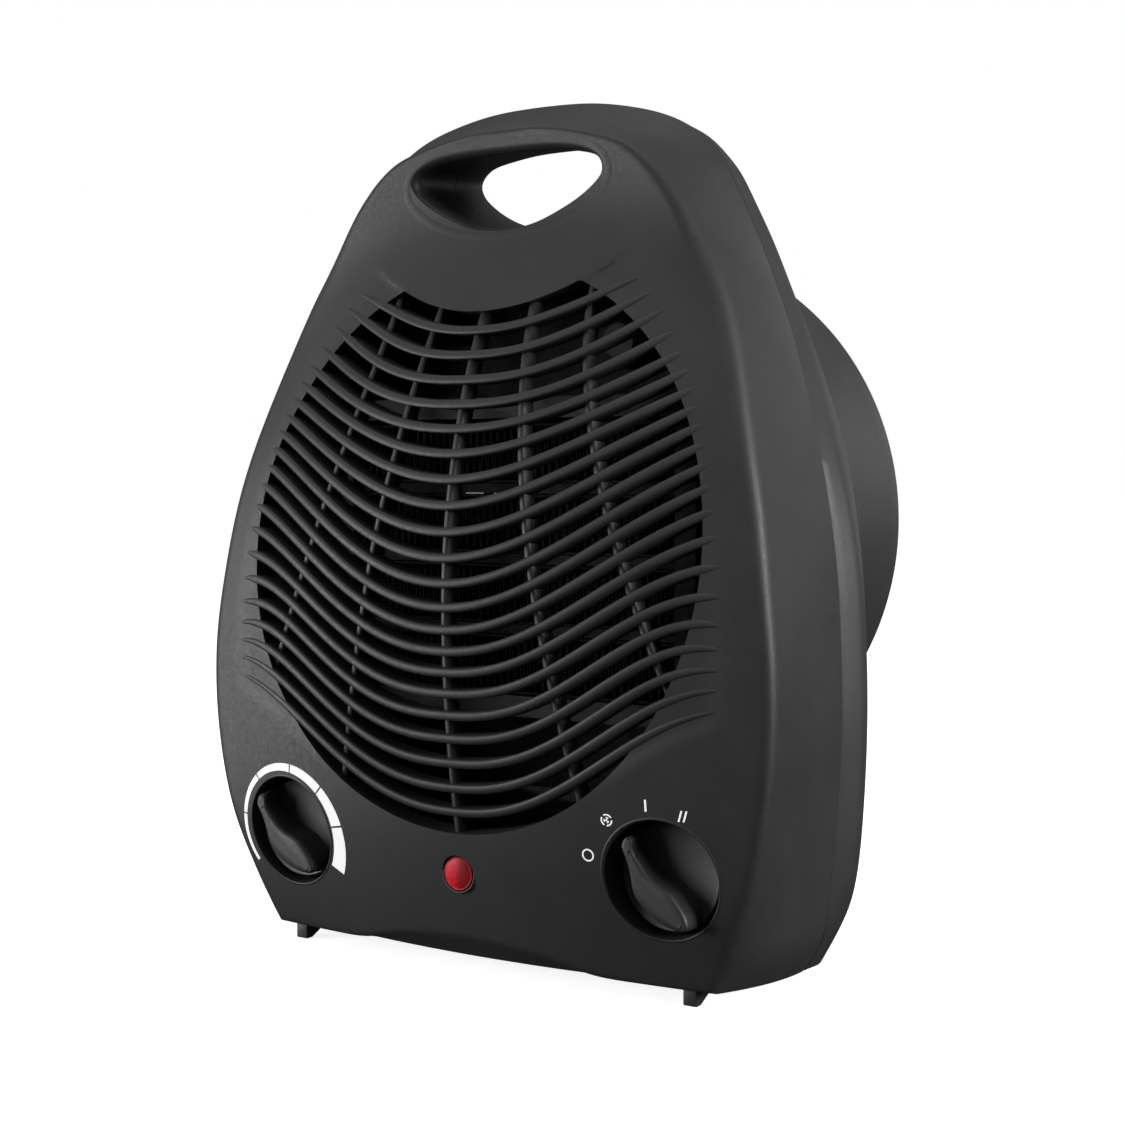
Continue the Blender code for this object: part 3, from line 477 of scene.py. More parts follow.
def moulded_plastic(name, colour, roughness, grain=0.00003, mottle=0.12):
    """Moulded plastic: spark-eroded grain, slightly uneven gloss and faint cloudy variation of colour."""
    material, tree, shader = new_material(name, colour, roughness)
    clouds = noise(tree, 45, 4, 0.6)
    dark = tuple(c * (1 - mottle) for c in colour)
    light = tuple(c * (1 + mottle) for c in colour)
    tree.links.new(ramp(tree, clouds, [(0.35, dark), (0.65, light)]), shader.inputs["Base Color"])
    fine = noise(tree, 900, 3, 0.6)
    tree.links.new(remap(tree, fine, roughness - 0.05, roughness + 0.06), shader.inputs["Roughness"])
    first = bump(tree, shader, noise(tree, 3200, 2, 0.6), grain, 0.5)
    bump(tree, shader, noise(tree, 120, 3, 0.5), grain * 4, 0.25, first)
    return material


def plated_metal(name, colour, roughness, streak=(1, 1, 1)):
    """Metal with fine streaks in its gloss and a light cloudiness."""
    material, tree, shader = new_material(name, colour, roughness, metallic=1.0)
    clouds = noise(tree, 160, 4, 0.6)
    dark = tuple(c * 0.86 for c in colour)
    tree.links.new(ramp(tree, clouds, [(0.3, dark), (0.7, colour)]), shader.inputs["Base Color"])
    streaks = noise(tree, 700, 3, 0.6, streak)
    tree.links.new(remap(tree, streaks, roughness - 0.08, roughness + 0.1), shader.inputs["Roughness"])
    bump(tree, shader, streaks, 0.00002, 0.4)
    return material


def lens_plastic(name):
    """Red moulded lens, finely dotted, with a little light scattered inside. Its colour is painted lighter on its
    left and darker on its right: painted light and shade.
    """
    material, tree, shader = new_material(name, (0.5, 0.012, 0.022), 0.4, specular=0.2)
    place = tree.nodes.new("ShaderNodeTexCoord")
    split = tree.nodes.new("ShaderNodeSeparateXYZ")
    tree.links.new(place.outputs["Generated"], split.inputs[0])
    # The lens's red runs from lit on the left to shaded on the right: painted light and shade
    lit_and_shaded_reds = [(0.1, (0.85, 0.02, 0.04)), (0.42, (0.75, 0.012, 0.028)),
            (0.6, (0.32, 0.008, 0.014)), (0.95, (0.3, 0.01, 0.014))]
    across = ramp(tree, split.outputs["X"], lit_and_shaded_reds)
    pattern = tree.nodes.new("ShaderNodeTexVoronoi")
    pattern.inputs["Scale"].default_value = 1300
    tree.links.new(place.outputs["Object"], pattern.inputs["Vector"])
    dots = ramp(tree, pattern.outputs["Distance"], [(0.15, (0.55, 0.55, 0.55)), (0.45, (1, 1, 1))])
    both = tree.nodes.new("ShaderNodeMix")
    both.data_type = "RGBA"
    both.blend_type = "MULTIPLY"
    both.inputs["Factor"].default_value = 1
    tree.links.new(across, both.inputs["A"])
    tree.links.new(dots, both.inputs["B"])
    tree.links.new(both.outputs["Result"], shader.inputs["Base Color"])
    shader.inputs["Subsurface Weight"].default_value = 0.15
    shader.inputs["Subsurface Radius"].default_value = (0.002, 0.0004, 0.0004)
    bump(tree, shader, noise(tree, 1500, 2), 0.00001, 0.3)
    return material


def clear_glass(name):
    material, tree, shader = new_material(name, (0.85, 0.82, 0.78), 0.08)
    shader.inputs["Transmission Weight"].default_value = 0.8
    bump(tree, shader, noise(tree, 800, 2), 0.00001, 0.2)
    return material


BLACK = moulded_plastic("black_casing", (0.027, 0.028, 0.028), 0.52)
KNOB_BLACK = moulded_plastic("knob_black", (0.022, 0.023, 0.0235), 0.5, grain=0.00002)
GLOWING_WHITE_PRINT = moulded_plastic("glowing_white_print", (0.86, 0.87, 0.86), 0.5, grain=0.00001, mottle=0.02)
# The white print gets a glow of its own on top of its white: painted light that lifts it brighter than the lamps
# make it
PRINT_GLOW_SHADER = GLOWING_WHITE_PRINT.node_tree.nodes["Principled BSDF"]
PRINT_GLOW_SHADER.inputs["Emission Color"].default_value = (1, 1, 1, 1)
PRINT_GLOW_SHADER.inputs["Emission Strength"].default_value = 0.45
# Near-black for two tiny discs on each knob's grip: painted shade of two small holes
PIP_HOLE_SHADE = moulded_plastic("pip_hole_shade", (0.006, 0.006, 0.006), 0.5, grain=0.00001)
# Near-black sheet metal for two parts seen between the bars: painted shade of the dark inside of the casing
SHADE_DARK_SHEET = plated_metal("shade_dark_sheet", (0.02, 0.02, 0.021), 0.6)
RED = lens_plastic("red_lens")
BY_SLOT = {
    "black_casing": BLACK,
    "knob_black": KNOB_BLACK,
    "red_lens": RED,
    "lamp_glass": clear_glass("lamp_glass"),
    "zinc_steel": plated_metal("zinc_steel", (0.34, 0.34, 0.33), 0.4),
    "motor_steel": plated_metal("motor_steel", (0.2, 0.2, 0.21), 0.45, streak=(0.1, 4, 0.1)),
    "coil_wrap": moulded_plastic("coil_wrap", (0.3, 0.12, 0.04), 0.45),
    "bronze": plated_metal("bronze", (0.4, 0.27, 0.12), 0.45),
    "brass": plated_metal("brass", (0.5, 0.38, 0.15), 0.35),
    # The fins' aluminium is coloured nearly black: painted shade of the dark inside of the casing
    "fin_aluminium": plated_metal(
        "fin_aluminium", (0.025, 0.025, 0.026), 0.65, streak=(0.2, 0.2, 3)),
    "ceramic": moulded_plastic("ceramic", (0.022, 0.021, 0.02), 0.8, mottle=0.2),
    "dark_plastic": moulded_plastic("dark_plastic", (0.012, 0.012, 0.0125), 0.55),
    "white_plastic": moulded_plastic("white_plastic", (0.6, 0.6, 0.57), 0.5),
    "rubber": moulded_plastic("rubber", (0.012, 0.012, 0.012), 0.7),
}
SHADE_DARKENED_NODES = ("duct_plate", "thermal_fuse")


def paint_nodes():
    """Paints each CAD node by its slot. Two that show between the bars are painted near-black instead: painted
    shade of the dark inside of the casing.
    """
    slots = {part["node"]: part["material_slot"] for part in frame["record"]["subparts"]}
    for name, obj in NODES.items():
        if not obj.material_slots:
            obj.data.materials.append(None)
        for place in obj.material_slots:
            place.material = SHADE_DARK_SHEET if name in SHADE_DARKENED_NODES else BY_SLOT[slots[name]]


# ---------------------------------------------------------------- casing outlines

def casing_stations(bottom_count, side_count):
    """Matching closed outlines (crease, parting line, rear edge), and where the bottom's points are."""
    bottom = along(BOTTOM, bottom_count)[:-1]
    side = along(SIDE, side_count)
    half = np.concatenate([bottom, side])
    on_bottom = np.concatenate([np.ones(len(bottom)), np.zeros(side_count)])
    both = mirrored(half)
    on_bottom = np.concatenate([on_bottom, on_bottom[-2:0:-1]])
    return both[:, 0:2], both[:, 2:4], both[:, 4:6], on_bottom


def handle_outline(y, grow):
    """The handle opening's outline behind its lip, at a depth, moved outward by a distance."""
    throat = mirrored(along(HANDLE_THROAT, HANDLE_POINTS))
    back = mirrored(along(HANDLE_BACK, HANDLE_POINTS))
    start = float(face_y(0, HANDLE_Z))
    share = np.clip((y - start) / (BACK_Y - start), 0, 1.2)
    return offset(throat + (back - throat) * share, grow)


# ---------------------------------------------------------------- front casing

def share_to_outlet(centre, reach):
    """How far along each line from the centre the outlet's edge lies, found by halving."""
    low, high = np.zeros(len(reach)), np.ones(len(reach))
    for _ in range(40):
        middle = (low + high) / 2
        points = centre + reach * middle[:, None]
        inside = in_outlet(points[:, 0], points[:, 1])
        low, high = np.where(inside, middle, low), np.where(inside, high, middle)
    return high


def front_rows():
    """Rows of the front casing: a flange in the outlet, then the face, and the flank to the parting line."""
    crease, parting, _, on_bottom = casing_stations(56, 200)
    centre = np.array([0.0, FACE_ROWS_Z])
    reach = crease - centre
    high = share_to_outlet(centre, reach)
    edge = centre + reach * high[:, None]
    distance = np.linalg.norm(reach, axis=1)
    heights, radii = np.transpose(CREASE_ROUNDING)
    rounding = np.interp(crease[:, 1], heights, radii)
    rounding = np.where(on_bottom > 0, BOTTOM_ROUNDING, rounding)

    def face_point(xz, deeper=0.0):
        return with_depth(xz, lambda x, z: face_y(x, z) + tail_floor(x, z) + deeper)

    rows = []
    inward = (centre - edge) / np.linalg.norm(edge - centre, axis=1, keepdims=True)
    for deeper, inset in ((8.0, 0.6), (5.0, 0.45), (2.2, 0.2)):
        rows.append(face_point(edge + inward * (inset - 0.1), deeper))
    last = 1 - rounding / distance
    for share in np.linspace(0, 1, 36):
        rows.append(face_point(centre + reach * (high + (last - high) * share)[:, None]))
    corner = with_depth(crease, face_y)
    depth = FRONT_END_Y - corner[:, 1]

    def flank(t):
        """A row of the casing's side, a share t of the way back from the crease to the parting line."""
        hollow = smoothstep((crease[:, 1] - 6) / 60)
        flare = (1 - hollow) * (1 - (1 - t) ** 1.9) + hollow * t**1.6
        drop = np.where(on_bottom > 0, smoothstep(t * depth / 5), flare)
        x = crease[:, 0] + (parting[:, 0] - crease[:, 0]) * flare
        z = crease[:, 1] + (parting[:, 1] - crease[:, 1]) * drop
        return np.stack([x, corner[:, 1] + depth * t, z], axis=1)

    start, end = rows[-1], flank(rounding / depth)
    for t in (0.2, 0.4, 0.6, 0.8, 1.0):
        rows.append(start * (1 - t) ** 2 + corner * 2 * t * (1 - t) + end * t**2)
    first = rounding / depth
    for share in np.linspace(0, 1, 13)[1:]:
        rows.append(flank(first + (1 - first) * share))
    rows[-1][:, 1] -= PARTING_STEP
    lip = rows[-1].copy()
    lip[:, 0::2] += (centre - lip[:, 0::2]) * (PARTING_STEP / distance)[:, None]
    lip[:, 1] = FRONT_END_Y
    rows.append(lip)
    return rows


def front_casing():
    """The front half's shell, with holes for the knob wells, the lens and the handle."""
    casing = sheet_object("front_casing_shell", front_rows(), BLACK)
    thicken(casing, WALL)
    holes = [rod(side * KNOB_X, KNOB_Z, WELL_R + 0.5, -70, -20, 72) for side in (-1, 1)]
    holes.append(rod(0, LAMP_Z, LAMP_R + 0.45, -70, -30))
    handle = Shape().loft([with_depth(handle_outline(y, 1.6), y) for y in (-45, PARTING_Y + 5)])
    cut(casing, *holes, handle)
    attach(casing, "casing")
    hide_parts("front_casing")


def bar_section(half_width, depth):
    """A bar's section as (up, back) points: a flattish front, round shoulders and slightly sloping sides."""
    shape = [(0.0, 0.0), (0.4, 0.03), (0.72, 0.14), (0.93, 0.38), (1.0, 0.8)]
    side = [(u * half_width, min(b * half_width, depth * 0.5)) for u, b in shape]
    side.append((half_width * 1.08, depth))
    return [(-u, b) for u, b in reversed(side[1:])] + side


def add_bar(shape, bar, stations, widths, depths, sink):
    """One bar along its centre line. Sink is how far its front lies behind the face."""
    z = bar_z(bar, stations)
    slope = np.gradient(z, stations)
    rings = []
    for x, height, tilt, width, depth, down in zip(stations, z, slope, widths, depths, sink):
        across = np.array([-tilt, 1.0]) / math.hypot(1, tilt)
        ring = []
        for up, back in bar_section(width, depth):
            px, pz = x + across[0] * up, height + across[1] * up
            ring.append((px, float(face_y(px, pz)) + down + back, pz))
        rings.append(ring)
    shape.loft(rings)


def outlet_bars():
    """The wavy bars over the outlet, each ending in a tapered ridge on the face."""
    shape = Shape()
    for bar in range(BAR_COUNT):
        samples = np.arange(20, 82, 0.25)
        inside = in_outlet(samples, bar_z(bar, samples))
        edge = samples[inside][-1]
        tail = max(float(TAIL_X(bar)), edge + 3)
        half = np.concatenate([np.linspace(0, edge + 1, 26), np.linspace(edge + 1, tail, 9)[1:]])
        x = np.concatenate([-half[:0:-1], half])
        taper = np.clip((np.abs(x) - edge - 1) / (tail - edge - 1), 0, 1)
        out = smoothstep(taper)
        widths = BAR_HALF_WIDTH * (1 - 0.75 * taper)
        depths = np.where(taper > 0, 2.0, BAR_DEPTH)
        add_bar(shape, bar, x, widths, depths, 0.1 * out + 0.12 * out**4)
    shape.make("outlet_bars", BLACK, slot="black_casing", sharp=50)


def lip_tails():
    """A ridge on either side of the outlet's top lip, in line with its edge."""
    shape = Shape()
    start, end, count = 31, float(TAIL_X(-1)), 24
    for side in (-1, 1):
        x = np.linspace(start, end, count)
        taper = (x - start) / (end - start)
        swell = np.sin(math.pi * (0.12 + 0.88 * taper))
        add_bar(shape, -1, side * x, 0.12 + swell, np.full(count, 1.8), 0.35 - 0.33 * swell)
    shape.make("lip_tails", BLACK, slot="black_casing", sharp=50)


def outlet_ribs():
    """Five upright ribs behind the bars, spreading downward."""
    shape = Shape()
    for inner, spread, power, span, low in RIBS:
        for side in ((1,) if inner == 0 else (-1, 1)):
            z = np.linspace(low, RIB_TOP_Z, 64)
            x = side * (inner + spread * np.clip((RIB_SPREAD_Z - z) / span, 0, 1.3) ** power)
            keep = in_outlet(x * 0.99, z + 1.5) | in_outlet(x * 0.99, z - 1.5)
            x, z = x[keep], z[keep]
            slope = np.gradient(x, z)
            rings = []
            for px, pz, lean in zip(x, z, slope):
                length = math.hypot(1, lean)
                y = float(face_y(px, pz)) + RIB_SETBACK
                rings.append([(px + u / length, y + b, pz - u * lean / length) for u, b in RIB_SECTION])
            shape.loft(rings)
    shape.make("outlet_ribs", BLACK, slot="black_casing", sharp=50)


def knob_well(name, x):
    """The well's rounded rim, wall and floor, as one closed ring."""
    rim = [(17.5, 0.5), (17.2, -0.02), (16.95, -0.16), (16.7, -0.18), (16.5, -0.08), (16.38, 0.15),
           (16.3, 1.0), (16.2, 3.0)]
    floor = [(16.1, -0.8), (15.9, -0.2), (15.3, 0), (7.4, 0), (7.4, 1.8), (17.4, 1.8)]
    profile = [(radius, behind_face(depth)) for radius, depth in rim]
    profile += [(radius, WELL_FLOOR_Y + depth) for radius, depth in floor]
    profile.append((17.5, behind_face(3.0)))
    rows = [with_depth(circle(x, KNOB_Z, radius, 96), y) for radius, y in profile]
    Shape().loft(rows, loop=True).make(name, BLACK, slot="black_casing")


def handle_front_liner():
    """The rounded lip and wall of the handle opening in the front half of the casing."""
    lip = mirrored(along(HANDLE_LIP, HANDLE_POINTS))
    throat = handle_outline(-45, 0)
    start = float(face_y(0, HANDLE_Z))
    rows = []
    for angle in (0, 12, 25, 38, 52, 66, 80, 90):
        turn = math.radians(angle)
        depth = 2.8 * (1 - math.cos(turn)) - 0.06 * math.cos(turn)
        rows.append(with_depth(lip + (throat - lip) * math.sin(turn), behind_face(depth)))
    for y in np.linspace(start + 4.5, FRONT_END_Y, 6):
        rows.append(with_depth(handle_outline(y, 0), y))
    rows.append(with_depth(handle_outline(FRONT_END_Y, 2.0), FRONT_END_Y))
    rows.append(with_depth(handle_outline(start + 6, 2.2), start + 6))
    for wider, depth in ((1.9, 1.2), (2.2, 0.05), (1.4, -0.05)):
        rows.append(with_depth(offset(lip, wider), behind_face(depth)))
    Shape().loft(rows, loop=True).make("handle_front_liner", BLACK, slot="black_casing", sharp=40)


def handle_rear_liner():
    """The wall of the handle opening in the rear half of the casing, rounded where it meets the back."""
    radius = 2.2
    rows = []
    for y in np.linspace(PARTING_Y, BACK_Y - radius, 5):
        rows.append(with_depth(handle_outline(y, 0), y))
    for angle in (15, 30, 45, 60, 75, 90):
        turn = math.radians(angle)
        y = BACK_Y - radius + 2.25 * math.sin(turn)
        rows.append(with_depth(handle_outline(BACK_Y, radius * (1 - math.cos(turn))), y))
    rows.append(with_depth(handle_outline(BACK_Y, 3.4), BACK_Y - 1.4))
    rows.append(with_depth(handle_outline(PARTING_Y, 2.0), PARTING_Y))
    Shape().loft(rows, loop=True).make("handle_rear_liner", BLACK, slot="black_casing", sharp=40)


def foot_fin(name, x, half_width, outline, bevel):
    """A foot: a fin in the YZ plane with softened edges."""
    rings = [[(x + side * half_width, y, z) for y, z in outline] for side in (-1, 1)]
    foot = Shape().loft(rings).make(name, BLACK, slot="black_casing", body=None)
    modifier = foot.modifiers.new("soft_edges", "BEVEL")
    modifier.width = bevel * MM
    modifier.segments = 3
    apply_modifiers(foot)
    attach(foot, "casing")


# ---------------------------------------------------------------- rear casing

def rear_rows():
    """Rows of the rear casing, from the parting line over the back and the drum to the middle of its end."""
    _, parting, edge, _ = casing_stations(44, 150)
    centre = np.array([0.0, DRUM_Z])
    reach = edge - centre
    distance = np.linalg.norm(reach, axis=1)
    inset = np.minimum(9.0, distance - DRUM_R - 3.5)
    lip = parting + (centre - parting) * 0.003
    rows = [with_depth(lip, PARTING_Y), with_depth(parting, PARTING_Y + PARTING_STEP)]
    for share in (0.35, 0.7, 0.9, 1.0):
        rows.append(with_depth(parting + (edge - parting) * smoothstep(share) ** 0.8,
                               PARTING_Y + (REAR_EDGE_Y - PARTING_Y) * share))
    for angle in (10, 20, 32, 45, 58, 70, 80, 90):
        turn = math.radians(angle)
        points = centre + reach * (1 - inset * (1 - math.cos(turn)) / distance)[:, None]
        rows.append(with_depth(points, REAR_EDGE_Y + (BACK_Y - REAR_EDGE_Y) * math.sin(turn)))
    wall = rows[-1][:, 0::2]
    direction = reach / distance[:, None]
    base = centre + direction * (DRUM_R + DRUM_FILLET)
    for share in (0.33, 0.66, 1.0):
        rows.append(with_depth(wall + (base - wall) * share, BACK_Y))
    for angle in (20, 40, 60, 80, 90):
        turn = math.radians(angle)
        points = centre + direction * (DRUM_R + DRUM_FILLET * (1 - math.sin(turn)))
        rows.append(with_depth(points, BACK_Y + DRUM_FILLET * (1 - math.cos(turn))))
    for y in (20, 30, 40, 50, DRUM_END_Y - DRUM_ROUNDING):
        share = (y - BACK_Y) / (DRUM_END_Y - BACK_Y)
        rows.append(with_depth(centre + direction * (DRUM_R - DRUM_TAPER * share), y))
    rim = DRUM_R - DRUM_TAPER
    for angle in (20, 40, 60, 75, 90):
        turn = math.radians(angle)
        points = centre + direction * (rim - DRUM_ROUNDING * (1 - math.cos(turn)))
        rows.append(with_depth(points, DRUM_END_Y - DRUM_ROUNDING + DRUM_ROUNDING * math.sin(turn)))
    for radius, sink in ((80, 0), (78.5, 0.6), (77.5, 0.8), (60, 0.8), (40, 0.8), (20, 0.8), (6, 0.8)):
        rows.append(with_depth(centre + direction * radius, DRUM_END_Y - sink))
    return rows


def intake_slots():
    """Cutters for the curved slots of the air intake: four rows of ten."""
    width, spoke_half_width = 8.5, 1.6
    cutters = []
    for inner in (30, 42, 54, 66):
        shape = Shape()
        for i in range(10):
            middle = math.radians(36 * i + 18)
            half = math.radians(18) - spoke_half_width / (inner + 4.5)
            turns = np.linspace(middle - half, middle + half, 14)
            arc = [(inner * math.cos(a), DRUM_Z + inner * math.sin(a)) for a in turns]
            outer = inner + width
            arc += [(outer * math.cos(a), DRUM_Z + outer * math.sin(a)) for a in turns[::-1]]
            shape.loft([with_depth(arc, DRUM_END_Y - 9), with_depth(arc, DRUM_END_Y + 4)])
        cutters.append(shape)
    return cutters


def rear_casing():
    """The rear half's shell, closed at its end and cut for the intake, handle, screws and cord inlet."""
    casing = sheet_object("rear_casing_shell", rear_rows(), BLACK)
    bm = bmesh.new()
    bm.from_mesh(casing.data)
    rims = [e for e in bm.edges if e.is_boundary and abs(e.verts[0].co.y) > 0.03]
    bmesh.ops.holes_fill(bm, edges=rims)
    bm.to_mesh(casing.data)
    bm.free()
    thicken(casing, WALL)
    holes = [Shape().loft([with_depth(handle_outline(y, 1.7), y) for y in (PARTING_Y - 5, BACK_Y + 6)])]
    for name in NODES:
        if name.startswith("casing_screw"):
            low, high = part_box(name)
            holes.append(rod((low.x + high.x) / 2 / MM, (low.z + high.z) / 2 / MM, 3.4, 4, 20, 32))
    holes.append(rod(0, 24, 5.2, 0, 20, 32))
    cut(casing, *holes, *intake_slots())
    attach(casing, "casing")
    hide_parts("rear_casing")


# ---------------------------------------------------------------- heater

def heater_fins():
    """The folded aluminium ribbons between the ceramic strips, each between two thin plates."""
    half_thickness, plate_thickness = 0.16, 0.7
    for name in sorted(node for node in NODES if node.startswith("heater_fin_bank")):
        low, high = (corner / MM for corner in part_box(name))
        shape = Shape()
        folds = np.linspace(low.x + 0.8, high.x - 0.8, 92)
        bottom, top = low.z + plate_thickness, high.z - plate_thickness
        for i, (start, end) in enumerate(zip(folds, folds[1:])):
            z_start, z_end = (bottom, top) if i % 2 else (top, bottom)
            section = [(start - half_thickness, z_start), (start + half_thickness, z_start),
                       (end + half_thickness, z_end), (end - half_thickness, z_end)]
            shape.loft([with_depth(section, low.y + 0.4), with_depth(section, high.y - 0.4)])
        for z in (low.z, high.z - plate_thickness):
            plate = [(low.x, z), (high.x, z), (high.x, z + plate_thickness), (low.x, z + plate_thickness)]
            shape.loft([with_depth(plate, low.y), with_depth(plate, high.y)])
        ribbon = shape.make(name + "_ribbon", BY_SLOT["fin_aluminium"], slot="fin_aluminium")
        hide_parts(name)


# ---------------------------------------------------------------- knobs, lamp and print

def grip_spine(outline):
    """The line midway between the grip's two sides, taken at each point of its outline."""
    upper, lower = np.array(GRIP[:GRIP_TAIL + 1])[::-1], np.array(GRIP[GRIP_TAIL:])
    above = np.interp(outline[:, 0], upper[:, 0], upper[:, 1])
    below = np.interp(outline[:, 0], lower[:, 0], lower[:, 1])
    return np.stack([outline[:, 0] * 0.93, (above + below) / 2], axis=1)


def grip_rows():
    """Outlines of the grip with their depths: a flared foot, a round shoulder and a flat top."""
    outline = along(np.array(GRIP + GRIP[:1]), 121)[:-1]
    middle = np.array([0.0, 2.6])
    outward = (outline - middle) / np.linalg.norm(outline - middle, axis=1)[:, None]
    hollow = smoothstep((1.6 - outline[:, 1]) / 3.2)
    spine = grip_spine(outline)
    reach = np.linalg.norm(outline - spine, axis=1)[:, None]
    rows = []
    for share in np.linspace(0, 1, 10):
        spread = 3.4 * hollow * (1 - share) ** 2.6 + 0.35 * (1 - share)
        rows.append((outline + outward * spread[:, None], GRIP_FOOT_Y - GRIP_HEIGHT * share))
    for angle in (20, 40, 60, 80):
        turn = math.radians(angle)
        shrink = np.minimum(0.9, 0.45 * reach) * (1 - math.cos(turn)) / reach
        rows.append((outline + (spine - outline) * shrink, GRIP_SHOULDER_Y - 1.3 * math.sin(turn)))
    for share in (0.62, 0.8, 0.92):
        rows.append((outline + (spine - outline) * share, GRIP_TOP_Y))
    return rows


def knob(name, body, node, x, pointer):
    """A round skirt with a leaf-shaped grip: a narrow pointer, a broad tail and one hollowed side."""
    turn = math.radians(pointer)
    spin = np.array([[math.cos(turn), math.sin(turn)], [-math.sin(turn), math.cos(turn)]])
    axis = np.array([x, KNOB_Z])
    shape = Shape()
    shape.loft([with_depth(circle(x, KNOB_Z, radius, 120), y) for radius, y in KNOB_SKIRT])
    rings = []
    for ring, y in grip_rows():
        tilt = GRIP_SLOPE * np.maximum(ring[:, 1] - GRIP_SLOPE_START, 0) * max(0.0, (-y - 40) / 11)
        rings.append(with_depth(ring @ spin + axis, y + tilt))
    shape.loft(rings)
    piece = shape.make(name, KNOB_BLACK, body=None, slot="knob_black", sharp=40)
    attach(piece, body)
    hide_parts(node)
    # Two tiny near-black discs on the grip's top: painted shade standing in for two small holes
    painted_hole_pips = Shape()
    for a, b in ((11.2, 0.6), (-12.6, 3.2)):
        place = np.array([a, b]) @ spin + axis
        top = GRIP_TOP_Y + GRIP_SLOPE * max(b - GRIP_SLOPE_START, 0)
        painted_hole_pips.loft([with_depth(circle(*place, radius, 20), top + depth)
                   for radius, depth in ((0.42, 0.3), (0.42, -0.18), (0.3, -0.24))])
    painted_hole_pips.make(name + "_pips", PIP_HOLE_SHADE, body=body, slot="knob_black")


def indicator():
    """The slightly domed red lens, almost flush in its hole, and the socket round it."""
    y = float(face_y(0, LAMP_Z))
    rows = [with_depth(circle(0, LAMP_Z, radius, 48), y + depth) for radius, depth in LENS]
    lens = Shape().loft(rows).make("indicator_lens_dome", RED, slot="red_lens", sharp=60)
    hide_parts("indicator_lens")
    tube = [with_depth(circle(0, LAMP_Z, radius, 48), y + depth) for radius, depth in SOCKET]
    Shape().loft(tube, loop=True).make("indicator_socket", BLACK, slot="black_casing")


def on_face(x, z, above):
    """A point at a distance in front of the face, or behind it where that is negative."""
    return np.stack([x, face_y(x, z) - above, z], axis=-1)


def add_strip(shape, inner, outer, thickness=0.09):
    """A thin solid ribbon on the face between two lines of (x, z) points."""
    rings = []
    for a, b in zip(inner, outer):
        middle = (a + b) / 2
        ring = [on_face(*a, thickness), on_face(*middle, thickness), on_face(*b, thickness),
                on_face(*b, -0.2), on_face(*middle, -0.2), on_face(*a, -0.2)]
        rings.append(ring)
    shape.loft(rings)


def arc_strip(shape, x, z, inner, outer, start, end, steps):
    """A ribbon round a point. Angles are in degrees, and the radii may be functions of the angle."""
    turns = np.linspace(start, end, steps)

    def points(radius):
        r = np.array([radius(t) if callable(radius) else radius for t in turns])
        a = np.radians(turns)
        return np.stack([x + r * np.cos(a), z + r * np.sin(a)], axis=1)

    add_strip(shape, points(inner), points(outer))


def thermostat_scale():
    """The printed scale: an arc in six parts that widens clockwise."""
    scale = Shape()
    inner, sweep = 18.3, SCALE_STOPS[0] - SCALE_STOPS[-1]

    def outer(angle):
        return inner + 1.1 + 3.9 * ((SCALE_STOPS[0] - angle) / sweep) ** 1.7

    for start, end in zip(SCALE_STOPS, SCALE_STOPS[1:]):
        arc_strip(scale, -KNOB_X - 0.4, KNOB_Z, inner, outer, start - 0.8, end + 0.8, 18)
    scale.make("thermostat_scale", GLOWING_WHITE_PRINT, slot="white_plastic")


def selector_marks():
    """The printed marks round the selector: off, fan only, and the two heat settings."""
    marks = Shape()

    def place(radius, angle):
        turn = math.radians(angle)
        return KNOB_X + radius * math.cos(turn), KNOB_Z + radius * math.sin(turn)

    arc_strip(marks, *place(*OFF_MARK), 1.35, 1.75, 0, 358, 40)
    x, z = place(*FAN_MARK)
    for start in (30, 150, 270):
        arc_strip(marks, x, z, 1.3, 1.68, start, start + 92, 16)
        arc_strip(marks, x, z, 0.45, 0.85, start + 10, start + 70, 8)
    arc_strip(marks, x, z, 0.03, 0.3, 0, 350, 12)
    x, z = place(*ONE_MARK)
    add_strip(marks, np.array([(x - 0.27, z - 1.6), (x - 0.27, z + 1.6)]),
              np.array([(x + 0.27, z - 1.6), (x + 0.27, z + 1.6)]))
    x, z = place(*TWO_MARK)
    for middle in (x - 0.68, x + 0.68):
        add_strip(marks, np.array([(middle - 0.72, z - 1.5), (middle + 0.22, z + 1.5)]),
                  np.array([(middle - 0.22, z - 1.5), (middle + 0.72, z + 1.5)]))
    marks.make("selector_marks", GLOWING_WHITE_PRINT, slot="white_plastic")


# ---------------------------------------------------------------- studio

def pale_floor():
    """A wide disc that glows evenly, and so shows as a plain pale ground without lighting the object."""
    radii, count = (20, 800, 3000, 9000), 96
    turns = np.linspace(0, 2 * math.pi, count, endpoint=False)
    rings = [[(r * math.cos(a), r * math.sin(a), -0.05) for a in turns] for r in radii]
    faces = [list(range(count))] + skin_faces(len(radii), count)
    material, tree, shader = new_material("pale_floor", (0.93, 0.93, 0.93), 0.6, specular=0.2)
    greys = [(0.3, (0.925, 0.925, 0.925)), (0.7, (0.935, 0.935, 0.935))]
    tree.links.new(ramp(tree, noise(tree, 3, 2), greys), shader.inputs["Base Color"])
    shader.inputs["Emission Color"].default_value = (1, 1, 1, 1)
    shader.inputs["Emission Strength"].default_value = 0.85
    floor = Shape().add(np.concatenate([np.array(ring) for ring in rings]), faces).make(
        "studio_floor", material, body=None)
    floor.visible_diffuse = False
    floor.visible_glossy = False


def softbox(name, place, target, size, energy):
    light = bpy.data.lights.new(name, "AREA")
    light.shape = "RECTANGLE"
    light.size, light.size_y = size
    light.energy = energy
    obj = bpy.data.objects.new(name, light)
    obj.location = place
    obj.rotation_euler = (Vector(target) - Vector(place)).to_track_quat("-Z", "Y").to_euler()
    bpy.context.scene.collection.objects.link(obj)


